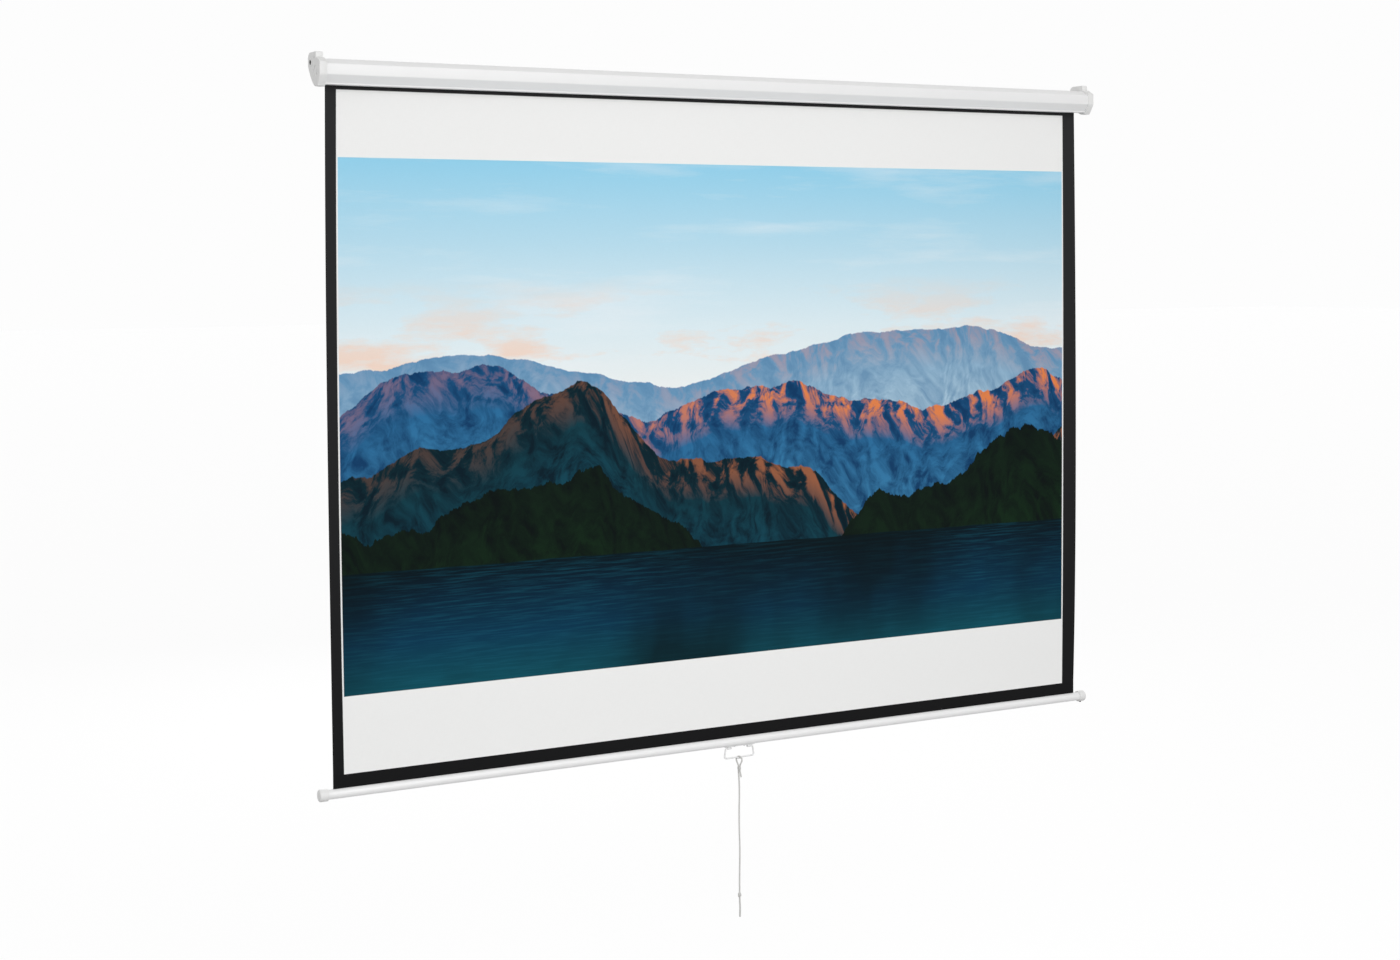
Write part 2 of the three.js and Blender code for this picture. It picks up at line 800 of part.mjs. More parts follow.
function handleClip() {
  const inner = barRadius + seat;
  const arc = (radius) => Array.from({ length: 2 * bendSteps + 1 }, (_, step) => {
    const sweep = clipHalfAngle * (step / bendSteps - 1);
    const angle = THREE.MathUtils.degToRad(sweep) - Math.PI / 2;
    return new THREE.Vector2(radius * Math.cos(angle), radius * Math.sin(angle));
  });
  const saddle = alongX([...arc(clipOuter), ...arc(inner).reverse()], -clipLength / 2, clipLength / 2);
  const from = knuckleFromCentre;
  const to = knuckleFromCentre + knuckleLength;
  const knuckles = [-1, 1].map((side) => {
    const knuckle = rod(from, to, knuckleRadius, smallSides);
    return (side < 0 ? mirrored(knuckle) : knuckle).translate(0, 0, -pivotDrop);
  });
  const bores = [-1, 1].map((side) => {
    const bore = rod(from - overrun, to + overrun, handleWireRadius + seat, smallSides);
    return (side < 0 ? mirrored(bore) : bore).translate(0, 0, -pivotDrop);
  });
  const rivetHoles = [-1, 1].map((side) => {
    return post(-clipOuter - overrun, overrun - inner, rivetRadius + seat)
      .translate(side * rivetFromCentre, 0, 0);
  });
  return carved(saddle, knuckles, [...bores, ...rivetHoles]);
}

function clipRivet(side) {
  return panHead(-clipOuter - seat, rivetHead, rivetHeadRadius, rivetRadius, rivetReach)
    .translate(side * rivetFromCentre, 0, 0);
}

// The wire handle, listed from its pivot.
function pullHandle() {
  const bottom = -handleDrop;
  const dip = -dipDrop;
  const half = [
    [knuckleFromCentre + seat, 0],
    [handleTopHalf, 0, handleTopBend],
    [handleBottomHalf, bottom, handleBottomBend],
    [handleDipHalf, bottom, handleDipBend],
    [handleDipFlat, dip, handleDipBend],
  ];
  const other = half.map(([across, up, bend]) => [-across, up, bend]).reverse();
  const route = roundedRun([...half, ...other]).map(({ x, y }) => new THREE.Vector3(x, 0, y));
  return tube(route, handleWireRadius, handleSteps);
}

// Pull cord, listed from the middle of the handle's dip

function cordRun(route) {
  const turn = THREE.MathUtils.degToRad(cordLoopTurn);
  return route.map(([along, up]) => new THREE.Vector3(along * Math.cos(turn), along * Math.sin(turn), up));
}

function cordTie() {
  return turnedZ([[tieTop - tieHeight, 0], [tieTop - tieHeight, 1], [tieTop, 1], [tieTop, 0]])
    .scale(tieHalfWidth, tieHalfDepth, 1)
    .rotateZ(THREE.MathUtils.degToRad(cordLoopTurn));
}

function cordKnot() {
  const bottom = cordKnotTop - cordKnotHeight;
  const shoulder = cordKnotHeight / bendSteps;
  return turnedZ([
    [bottom, 0],
    [bottom, cordEndRadius],
    [bottom + shoulder, cordKnotRadius],
    [cordKnotTop - shoulder, cordKnotRadius],
    [cordKnotTop, cordEndRadius],
    [cordKnotTop, 0],
  ]);
}

// Assembly

function piece(group, name, geometry, material) {
  const mesh = new THREE.Mesh(closed(geometry), material);
  mesh.name = name;
  group.add(mesh);
}

function groupAt(parent, x, y, z) {
  const group = new THREE.Group();
  group.position.set(x, y, z);
  parent.add(group);
  return group;
}

const screen = new THREE.Group();
screen.name = 'pull_down_screen';

piece(screen, 'casing_shell', casingShell(), whitePaint);
piece(screen, 'end_cap_left', leftCap(), whitePlastic);
piece(screen, 'end_cap_right', rightCap(), whitePlastic);
piece(screen, 'ear_screw_left', earScrew(-1), brightSteel);
piece(screen, 'ear_screw_right', earScrew(1), brightSteel);
piece(screen, 'cap_screw_left', capScrew(-1), darkSteel);
piece(screen, 'cap_screw_right', capScrew(1), darkSteel);
piece(screen, 'projection_sheet', projectionSheet(), sheetWhite);

const roller = groupAt(screen, 0, rollerY, rollerZ);
piece(roller, 'roller_tube', rollerTube(), rollerAluminium);
piece(roller, 'sheet_turns', sheetTurns(), sheetBlack);
piece(roller, 'idle_plug', idlePlug(), greyPlastic);
piece(roller, 'idle_pin', idlePin(), brightSteel);
piece(roller, 'idle_bush', idleBush(), greyPlastic);
piece(roller, 'spring_plug', springPlug(), greyPlastic);
piece(roller, 'spring_bearing', springBearing(), greyPlastic);
piece(roller, 'spring_turning_anchor', turningAnchor(), greyPlastic);
piece(roller, 'spring_fixed_anchor', fixedAnchor(), greyPlastic);
piece(roller, 'spindle', spindle(), brightSteel);
piece(roller, 'torsion_spring', torsionSpring(), springSteel);
piece(roller, 'ratchet_cup', ratchetCup(), greyPlastic);
piece(roller, 'catch_hub', catchHub(), greyPlastic);
piece(roller, 'pawl_pin', pawlPin(), brightSteel);

const pawl = groupAt(roller, 0, 0, pawlPivotRadius);
piece(pawl, 'catch_pawl', catchPawl(), brightSteel);

const bar = groupAt(screen, 0, sheetY, barAxisZ);
piece(bar, 'bar_tube', barTube(), whitePaint);
piece(bar, 'bar_cap_left', mirrored(barCap()), whitePlastic);
piece(bar, 'bar_cap_right', rightBarCap(), whitePlastic);
piece(bar, 'bar_cap_screw', barCapScrew(), darkSteel);
piece(bar, 'bottom_hem', bottomHem(), sheetBlack);
piece(bar, 'hem_rod', hemRod(), greyPlastic);
piece(bar, 'handle_clip', handleClip(), whitePaint);
piece(bar, 'clip_rivet_left', clipRivet(-1), brightSteel);
piece(bar, 'clip_rivet_right', clipRivet(1), brightSteel);

const handle = groupAt(bar, 0, 0, -pivotDrop);
piece(handle, 'pull_handle', pullHandle(), whitePaint);

const cord = groupAt(handle, 0, 0, -dipDrop);
piece(cord, 'cord_loop', tube(cordRun(cordLoopRoute), cordRadius, loopSteps), cordWhite);
piece(cord, 'cord_tie', cordTie(), cordWhite);
piece(cord, 'pull_cord', tube(cordRun(cordMainRoute), cordRadius, cordSteps), cordWhite);
piece(cord, 'cord_tail', tube(cordRun(cordTailRoute), cordRadius, endSteps), cordWhite);
piece(cord, 'cord_knot', cordKnot(), cordWhite);
piece(cord, 'cord_end', tube(cordRun(cordEndRoute), cordEndRadius, endSteps), cordWhite);

export default screen;
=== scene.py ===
"""A manual pull down projector screen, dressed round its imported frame.

While a piece is being made its sizes are in millimetres, in the frame's own axes: X runs along the
casing, Y points into the wall and Z points up. Each finished mesh is in metres. The overrun is how far
a cut runs past what it cuts, and an angle about X is in degrees from Y towards Z, so that 90 is up.
"""

import logging
import math
from collections.abc import Callable, Iterable, Sequence
from dataclasses import dataclass
from enum import Enum

import bmesh
import bpy
from mathutils import Matrix, Vector


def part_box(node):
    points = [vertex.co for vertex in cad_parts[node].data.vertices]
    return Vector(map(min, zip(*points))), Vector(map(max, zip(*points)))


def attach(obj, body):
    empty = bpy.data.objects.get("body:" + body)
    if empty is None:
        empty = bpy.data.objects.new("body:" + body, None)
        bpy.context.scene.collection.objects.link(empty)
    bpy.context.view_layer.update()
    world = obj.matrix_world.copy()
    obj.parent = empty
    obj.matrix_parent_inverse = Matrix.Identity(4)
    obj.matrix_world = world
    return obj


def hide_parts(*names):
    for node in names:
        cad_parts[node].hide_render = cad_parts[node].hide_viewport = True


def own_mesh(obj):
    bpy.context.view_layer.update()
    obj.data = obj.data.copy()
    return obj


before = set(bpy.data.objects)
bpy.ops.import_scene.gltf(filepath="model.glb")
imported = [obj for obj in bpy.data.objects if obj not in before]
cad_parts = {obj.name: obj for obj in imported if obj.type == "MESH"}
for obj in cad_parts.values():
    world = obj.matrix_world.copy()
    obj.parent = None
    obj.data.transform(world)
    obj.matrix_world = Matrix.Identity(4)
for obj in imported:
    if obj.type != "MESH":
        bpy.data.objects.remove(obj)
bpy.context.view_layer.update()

MM = 0.001
MERGE = 1e-4
NEAR = 10 * MERGE
OVERRUN = 1.0
SMOOTH_ANGLE = math.radians(32)
UPWARDS = 90.0
FINE_SIDES, SIDES, SMALL_SIDES = 64, 48, 32
FULL_TONE = 255
LOG = logging.getLogger("pull_down_screen")

Colour = tuple[float, float, float, float]
Pair = tuple[float, float]
Triple = tuple[float, float, float]
Window = tuple[float, float, float, float]
Mesh = bmesh.types.BMesh
Socket = bpy.types.NodeSocket
EdgeTest = Callable[[bmesh.types.BMEdge], bool]
Swell = Callable[[float], float]

# Where the roller turns, as Y and Z, and the plane in Y that the cloth, the bar and the cord hang in.
AXLE: Pair = (-50.0, -21.0)
HANGING_PLANE = -30.0


def tone(red: int, green: int, blue: int) -> Colour:
    """Turns a colour of 0 to 255 parts, as a screen shows it, into a shader's colour.

    Args:
        red: The red part.
        green: The green part.
        blue: The blue part.

    Returns:
        The linear colour with full alpha.
    """
    straight_end, slope, offset, bend = 0.04045, 12.92, 0.055, 2.4
    parts = [part / FULL_TONE for part in (red, green, blue)]
    linear = [
        part / slope if part <= straight_end else ((part + offset) / (1 + offset)) ** bend for part in parts
    ]
    return (linear[0], linear[1], linear[2], 1.0)


# Node trees


class Graph:
    """Short calls that add and join the nodes of one tree."""

    def __init__(self, tree: bpy.types.NodeTree) -> None:
        """Keeps the tree that the nodes go into."""
        self.tree = tree

    def feed(self, socket: Socket, value: object) -> None:
        """Joins a socket to another one, or sets its value.

        Args:
            socket: The input socket.
            value: The output socket that feeds it, or its value.
        """
        if isinstance(value, bpy.types.NodeSocket):
            self.tree.links.new(value, socket)
        else:
            socket.default_value = value

    def node(self, kind: str, values: dict[str | int, object], **settings: object) -> bpy.types.Node:
        """Adds a node.

        Args:
            kind: The node's type.
            values: What each input socket gets, by its name or number.
            settings: The node's own settings.

        Returns:
            The new node.
        """
        made = self.tree.nodes.new(kind)
        for name, setting in settings.items():
            setattr(made, name, setting)
        for key, value in values.items():
            self.feed(made.inputs[key], value)
        return made

    def math(self, operation: str, first: object, second: object = 0.0, clamp: bool = False) -> Socket:
        """Adds one step of arithmetic and returns its result."""
        values = {0: first, 1: second}
        return self.node("ShaderNodeMath", values, operation=operation, use_clamp=clamp).outputs[0]

    def weighed(self, first: object, second: object, share: float) -> Socket:
        """Adds two values, the first by its share and the second by the rest."""
        parts = [self.math("MULTIPLY", first, share), self.math("MULTIPLY", second, 1 - share)]
        return self.math("ADD", *parts)

    def mix(self, share: object, first: object, second: object, blend: str = "MIX") -> Socket:
        """Mixes two colours and returns the mixed one."""
        values = {0: share, 6: first, 7: second}
        return self.node("ShaderNodeMix", values, data_type="RGBA", blend_type=blend).outputs[2]

    def noise(self, vector: object, scale: object, detail: float = 2.0, roughness: float = 0.5) -> Socket:
        """Adds noise from 0 to 1 and returns its value."""
        values = {"Vector": vector, "Scale": scale, "Detail": detail, "Roughness": roughness}
        return self.node("ShaderNodeTexNoise", values).outputs[0]

    def mapped(self, vector: object, scale: Sequence[float], move: Sequence[float] = (0, 0, 0)) -> Socket:
        """Stretches and moves a place, and returns the new one."""
        values = {"Vector": vector, "Scale": scale, "Location": move}
        return self.node("ShaderNodeMapping", values).outputs[0]

    def spread(
        self, value: object, low: float, high: float, start: float = 0.0, end: float = 1.0
    ) -> Socket:
        """Carries a value from low to high over to start to end, and no further.

        Args:
            value: The value to carry over.
            low: The value that gives the start.
            high: The value that gives the end.
            start: The result at low.
            end: The result at high.

        Returns:
            The result.
        """
        values = {0: value, 1: low, 2: high, 3: start, 4: end}
        return self.node("ShaderNodeMapRange", values, clamp=True).outputs[0]

    def ramp(self, share: object, stops: Sequence[tuple[float, Colour]]) -> Socket:
        """Picks a colour from stops by a share from 0 to 1.

        Args:
            share: The share.
            stops: Each stop's share and colour.

        Returns:
            The colour.
        """
        made = self.node("ShaderNodeValToRGB", {0: share})
        elements = made.color_ramp.elements
        while len(elements) < len(stops):
            elements.new(1.0)
        for element, (place, colour) in zip(elements, stops):
            element.position = place
            element.color = colour
        return made.outputs[0]

    def bump(self, height: object, depth: float, strength: float = 1.0) -> Socket:
        """Turns a height from 0 to 1 into a normal, with its full depth in metres."""
        values = {"Height": height, "Distance": depth, "Strength": strength}
        return self.node("ShaderNodeBump", values).outputs[0]

    def group(self, tree: bpy.types.NodeTree, values: dict[str, object]) -> bpy.types.Node:
        """Places a node group with its own values.

        Args:
            tree: The node group.
            values: What each of its inputs gets, by name.

        Returns:
            The group's node.
        """
        made = self.tree.nodes.new("ShaderNodeGroup")
        made.node_tree = tree
        for name, value in values.items():
            self.feed(made.inputs[name], value)
        return made


class Effect:
    """A node group with named inputs and outputs."""

    def __init__(self, name: str, takes: dict[str, str], gives: dict[str, str]) -> None:
        """Makes an empty group.

        Args:
            name: The group's name.
            takes: The inputs' names and socket types.
            gives: The outputs' names and socket types.
        """
        self.tree = bpy.data.node_groups.new(name, "ShaderNodeTree")
        for place, sockets in (("INPUT", takes), ("OUTPUT", gives)):
            for label, kind in sockets.items():
                self.tree.interface.new_socket(name=label, in_out=place, socket_type=kind)
        self.graph = Graph(self.tree)
        self.inputs = self.tree.nodes.new("NodeGroupInput").outputs
        self.outputs = self.tree.nodes.new("NodeGroupOutput").inputs

    def give(self, **results: Socket) -> bpy.types.NodeTree:
        """Joins results to the outputs of the same names.

        Args:
            results: The sockets, by the outputs' names.

        Returns:
            The finished group.
        """
        for label, result in results.items():
            self.graph.feed(self.outputs[label], result)
        return self.tree


FLOAT, VECTOR, COLOUR = "NodeSocketFloat", "NodeSocketVector", "NodeSocketColor"

# The values that most of a noise lies between, and the values that nearly all of it lies between.
MOST_NOISE: Pair = (0.3, 0.7)
ALL_NOISE: Pair = (0.2, 0.8)


def surface_grain() -> bpy.types.NodeTree:
    """Makes the grain of paint, plastic and drawn metal, with slow changes of tone.

    Returns:
        The node group.
    """
    effect = Effect("surface_grain", {"Vector": VECTOR, "Scale": FLOAT}, {"Height": FLOAT, "Tone": FLOAT})
    graph, place, scale = effect.graph, effect.inputs["Vector"], effect.inputs["Scale"]
    coarse_rate, slow_rate, fine_share = 0.21, 0.012, 0.6
    fine = graph.noise(place, scale, detail=3.0, roughness=0.55)
    coarse = graph.noise(place, graph.math("MULTIPLY", scale, coarse_rate))
    height = graph.weighed(fine, coarse, fine_share)
    slow = graph.noise(place, graph.math("MULTIPLY", scale, slow_rate), detail=3.0, roughness=0.6)
    return effect.give(Height=height, Tone=graph.spread(slow, *MOST_NOISE))


def settled_dust() -> bpy.types.NodeTree:
    """Makes the thin film of dust on what faces up, in soft patches.

    Returns:
        The node group.
    """
    takes = {"Vector": VECTOR, "Normal": VECTOR, "Amount": FLOAT}
    effect = Effect("settled_dust", takes, {"Mask": FLOAT})
    graph = effect.graph
    up = graph.node("ShaderNodeSeparateXYZ", {0: effect.inputs["Normal"]}).outputs[2]
    patch_rate, dusty, lying_flat = 38.0, (0.35, 0.75), (0.35, 0.95)
    noise = graph.noise(effect.inputs["Vector"], patch_rate, detail=4.0, roughness=0.6)
    patches = graph.spread(noise, *dusty)
    lying = graph.math("MULTIPLY", graph.spread(up, *lying_flat), patches)
    return effect.give(Mask=graph.math("MULTIPLY", lying, effect.inputs["Amount"], clamp=True))


def woven_cloth() -> bpy.types.NodeTree:
    """Makes the weave under a coated cloth, from places along the cloth in metres.

    Returns:
        The node group.
    """
    effect = Effect("woven_cloth", {"Vector": VECTOR, "Pitch": FLOAT}, {"Height": FLOAT, "Slub": FLOAT})
    graph, place = effect.graph, effect.inputs["Vector"]
    parts = graph.node("ShaderNodeSeparateXYZ", {0: place}).outputs
    turn = graph.math("DIVIDE", 2 * math.pi, effect.inputs["Pitch"])
    warp, weft = (graph.math("SINE", graph.math("MULTIPLY", part, turn)) for part in parts[:2])
    threads = graph.spread(graph.math("MULTIPLY", warp, weft), -1.0, 1.0)
    slow_rate, quick_rate, thread_share = 60.0, 900.0, 0.7
    across = graph.noise(graph.mapped(place, (slow_rate, quick_rate, 1.0)), 1.0)
    down = graph.noise(graph.mapped(place, (quick_rate, slow_rate, 1.0)), 1.0)
    slub = graph.math("MULTIPLY", graph.math("ADD", across, down), 0.5)
    height = graph.weighed(threads, slub, thread_share)
    return effect.give(Height=height, Slub=graph.spread(slub, *MOST_NOISE))


def spun_fibre() -> bpy.types.NodeTree:
    """Makes the fine fibres of a cotton strand and the shade that gathers between them.

    Returns:
        The node group.
    """
    effect = Effect("spun_fibre", {"Vector": VECTOR}, {"Height": FLOAT, "Shade": FLOAT})
    graph, place = effect.graph, effect.inputs["Vector"]
    fibre_rate, fibre_along, fuzz_rate, fibre_share = 5200.0, 1300.0, 900.0, 0.7
    stretched = graph.mapped(place, (fibre_rate, fibre_rate, fibre_along))
    fine = graph.noise(stretched, 1.0, detail=3.0, roughness=0.6)
    fuzz = graph.noise(place, fuzz_rate)
    height = graph.weighed(fine, fuzz, fibre_share)
    return effect.give(Height=height, Shade=graph.spread(fuzz, *MOST_NOISE))


@dataclass(frozen=True)
class Ridge:
    """One row of hills in the view. Heights and raggedness are shares of the picture's height.

    The rate is how often its crest rises across the picture, the seed picks its shape, the relief is how
    dark its shaded slopes are, and the warmth is how far the low sun colours its crest.
    """

    height: float
    swing: float
    rate: float
    seed: float
    ragged: float
    crest: Colour
    foot: Colour
    shadow: Colour
    relief: float
    warmth: float = 0.0


@dataclass(frozen=True)
class HillView:
    """A made-up view of rolling hills above still water, which stands for any projected picture.

    A range has the two values that its effect grows between, and a window has the results at both as
    well. A stretch is how often a pattern repeats across and up, and a place moves it.
    """

    aspect: float = 1.69
    water_line: float = 0.225
    shore_swing: float = 0.004
    soft_edge: float = 0.002
    rocks: float = 46.0
    folds: float = 13.0
    fold_bend: float = 0.24
    fold_bend_rate: float = 5.0
    fold_fall: float = 0.85
    rolling_range: Pair = (0.28, 0.72)
    light_range: Pair = (-0.11, 0.1)
    foot_depth: float = 0.22
    warm_range: Pair = (0.02, 0.085)
    sunny_range: Pair = (0.4, 0.8)
    sunny_window: Window = (0.2, 0.55, 0.2, 1.0)
    sun_side: Triple = (-0.16, 0.08, 0.0)
    wisp_stretch: Triple = (2.0, 9.5, 1.0)
    wisp_place: Triple = (5.0, 0.0, 0.0)
    wisp_window: Window = (0.52, 0.78, 0.0, 0.6)
    bank_stretch: Triple = (4.0, 9.0, 1.0)
    bank_place: Triple = (23.0, 0.0, 0.0)
    bank_window: Window = (0.5, 0.6, 0.0, 0.85)
    bank_fade_range: Pair = (0.62, 0.78)
    ripple_stretch: Triple = (16.0, 210.0, 1.0)
    ripple_window: Window = (0.46, 0.78, 0.0, 0.35)
    mirror_stretch: Triple = (3.0, 1.0, 1.0)
    mirror_place: Triple = (71.0, 0.0, 0.0)
    mirror_window: Window = (0.4, 0.58, 0.8, 0.0)
    shore_stretch: Triple = (9.0, 0.0, 0.0)
    sky: tuple[tuple[float, Colour], ...] = (
        (0.0, tone(247, 247, 244)),
        (0.34, tone(224, 240, 246)),
        (0.68, tone(186, 224, 241)),
        (1.0, tone(150, 212, 239)),
    )
    cloud: Colour = tone(244, 247, 250)
    low_cloud: Colour = tone(246, 214, 194)
    glow: Colour = tone(228, 132, 78)
    ridges: tuple[Ridge, ...] = (
        Ridge(
            height=0.60, swing=0.09, rate=1.9, seed=3.0, ragged=0.006,
            crest=tone(112, 160, 196), foot=tone(190, 216, 230), shadow=tone(84, 132, 172),
            relief=0.7, warmth=0.25,
        ),
        Ridge(
            height=0.52, swing=0.19, rate=2.3, seed=17.0, ragged=0.010,
            crest=tone(30, 96, 146), foot=tone(60, 128, 172), shadow=tone(8, 50, 92),
            relief=0.9, warmth=1.0,
        ),
        Ridge(
            height=0.40, swing=0.22, rate=2.1, seed=43.0, ragged=0.010,
            crest=tone(13, 50, 56), foot=tone(18, 72, 90), shadow=tone(3, 22, 34),
            relief=0.9, warmth=0.4,
        ),
        Ridge(
            height=0.31, swing=0.19, rate=2.6, seed=71.0, ragged=0.020,
            crest=tone(13, 30, 20), foot=tone(16, 40, 22), shadow=tone(3, 10, 12),
            relief=0.9, warmth=0.0,
        ),
    )
    water: tuple[tuple[float, Colour], ...] = (
        (0.0, tone(12, 78, 92)),
        (0.4, tone(5, 54, 80)),
        (0.8, tone(3, 32, 50)),
        (1.0, tone(2, 20, 28)),
    )
    ripple: Colour = tone(30, 108, 130)
    mirrored_dark: Colour = tone(2, 15, 19)

    def crest_line(self, graph: Graph, across: Socket, ridge: Ridge) -> Socket:
        """Works out the height of a ridge's crest at a place across the picture.

        Args:
            graph: The nodes to add to.
            across: The place's share from left to right.
            ridge: The ridge.

        Returns:
            The crest's height.
        """
        slow, quick = (
            graph.node("ShaderNodeCombineXYZ", {0: graph.math("MULTIPLY", across, rate), 1: ridge.seed})
            for rate in (ridge.rate, self.rocks)
        )
        rolling = graph.noise(slow.outputs[0], 1.0, detail=3.5, roughness=0.45)
        ragged = graph.noise(quick.outputs[0], 1.0, detail=5.0, roughness=0.66)
        low, high = ridge.height - ridge.swing, ridge.height + ridge.swing
        lift = graph.spread(rolling, *self.rolling_range, low, high)
        return graph.math("ADD", lift, graph.spread(ragged, *ALL_NOISE, -ridge.ragged, ridge.ragged))

    def slopes(self, graph: Graph, across: Socket, below: Socket, ridge: Ridge) -> Socket:
        """Returns how far a place on a ridge's slopes turns to the light, from 0 to 1.

        Args:
            graph: The nodes to add to.
            across: The place's share from left to right.
            below: How far it lies under the crest.
            ridge: The ridge.

        Returns:
            The share of light.
        """
        wide = graph.math("MULTIPLY", across, self.aspect)
        fallen = graph.math("MULTIPLY", below, self.fold_fall)
        place = graph.node("ShaderNodeCombineXYZ", {0: wide, 1: fallen, 2: ridge.seed}).outputs[0]
        bend = graph.math("MULTIPLY", graph.noise(place, self.fold_bend_rate, detail=3.0), self.fold_bend)
        bent = graph.node("ShaderNodeVectorMath", {0: place, 1: bend}).outputs[0]
        scale = (self.folds, self.folds, 1.0)
        here = graph.noise(graph.mapped(bent, scale), 1.0, detail=9.0, roughness=0.6)
        beside = graph.noise(graph.mapped(bent, scale, self.sun_side), 1.0, detail=9.0, roughness=0.6)
        return graph.spread(graph.math("SUBTRACT", here, beside), *self.light_range)

    def layer(self, graph: Graph, across: Socket, up: Socket, behind: Socket, ridge: Ridge) -> Socket:
        """Lays one ridge over what is behind it.

        Args:
            graph: The nodes to add to.
            across: The place's share from left to right.
            up: Its share from bottom to top.
            behind: The colours behind.
            ridge: The ridge.

        Returns:
            The colours with the ridge.
        """
        below = graph.math("SUBTRACT", self.crest_line(graph, across, ridge), up)
        light = self.slopes(graph, across, below, ridge)
        body = graph.mix(graph.spread(below, 0.0, self.foot_depth), ridge.crest, ridge.foot)
        shade = graph.math("MULTIPLY", graph.math("SUBTRACT", 1.0, light), ridge.relief)
        shaded = graph.mix(shade, body, ridge.shadow)
        near_crest = graph.spread(below, *self.warm_range, ridge.warmth, 0.0)
        sunny = graph.math("MULTIPLY", graph.spread(light, *self.sunny_range), near_crest)
        facing = graph.math("MULTIPLY", sunny, graph.spread(across, *self.sunny_window))
        lit = graph.mix(facing, shaded, self.glow)
        return graph.mix(graph.spread(below, 0.0, self.soft_edge), behind, lit)

    def clouded_sky(self, graph: Graph, place: Socket, up: Socket) -> Socket:
        """Paints the sky with thin high clouds and warm banks low down.

        Args:
            graph: The nodes to add to.
            place: The place in the picture, in shares.
            up: Its share from bottom to top.

        Returns:
            The sky's colours.
        """
        sky = graph.ramp(graph.spread(up, 0.5, 1.0), self.sky)
        thin = graph.mapped(place, self.wisp_stretch, self.wisp_place)
        wisps = graph.noise(thin, 1.0, detail=8.0, roughness=0.6)
        high = graph.mix(graph.spread(wisps, *self.wisp_window), sky, self.cloud)
        thick = graph.mapped(place, self.bank_stretch, self.bank_place)
        banks = graph.noise(thick, 1.0, detail=9.0, roughness=0.58)
        low_down = graph.spread(up, *self.bank_fade_range, 1.0, 0.0)
        puffs = graph.math("MULTIPLY", graph.spread(banks, *self.bank_window), low_down)
        return graph.mix(puffs, high, self.low_cloud)

    def lake(self, graph: Graph, place: Socket, up: Socket) -> Socket:
        """Paints the still water with its ripples and the dark shapes mirrored in it.

        Args:
            graph: The nodes to add to.
            place: The place in the picture, in shares.
            up: Its share from bottom to top.

        Returns:
            The water's colours.
        """
        water = graph.ramp(graph.spread(up, 0.0, self.water_line), self.water)
        ripples = graph.noise(graph.mapped(place, self.ripple_stretch), 1.0, detail=5.0, roughness=0.62)
        rippled = graph.mix(graph.spread(ripples, *self.ripple_window), water, self.ripple)
        mirror = graph.noise(graph.mapped(place, self.mirror_stretch, self.mirror_place), 1.0, detail=4.0)
        return graph.mix(graph.spread(mirror, *self.mirror_window), rippled, self.mirrored_dark)

    def make(self) -> bpy.types.NodeTree:
        """Makes the view from its sky, its ridges from far to near, and its water.

        Returns:
            The node group, which takes a place in shares of the picture.
        """
        effect = Effect("hill_view", {"Vector": VECTOR}, {"Color": COLOUR})
        graph, place = effect.graph, effect.inputs["Vector"]
        parts = graph.node("ShaderNodeSeparateXYZ", {0: place}).outputs
        across, up = parts[0], parts[1]
        picture = self.clouded_sky(graph, place, up)
        for ridge in self.ridges:
            picture = self.layer(graph, across, up, picture, ridge)
        rough_edge = graph.noise(graph.mapped(place, self.shore_stretch), 1.0)
        swing = graph.spread(rough_edge, 0.0, 1.0, -self.shore_swing, self.shore_swing)
        shore = graph.math("ADD", up, swing)
        above = graph.spread(shore, self.water_line, self.water_line + self.soft_edge)
        return effect.give(Color=graph.mix(above, self.lake(graph, place, up), picture))


# Finishes


class Kind(Enum):
    """How the surface of a hard piece was made."""

    PAINT = "powder coat"
    MOULDED = "moulded plastic"
    TURNED = "turned or drawn metal"


class Library:
    """The node groups that several finishes share, each made once."""

    def __init__(self) -> None:
        """Makes the groups."""
        self.grain = surface_grain()
        self.dust = settled_dust()
        self.weave = woven_cloth()
        self.fibre = spun_fibre()
        self.view = HillView().make()


def blank_material(name: str) -> tuple[bpy.types.Material, Graph, bpy.types.Node]:
    """Starts a material with one shader.

    Args:
        name: The material's name.

    Returns:
        The material, its nodes and its shader.
    """
    material = bpy.data.materials.new(name)
    material.use_nodes = True
    graph = Graph(material.node_tree)
    return material, graph, material.node_tree.nodes["Principled BSDF"]


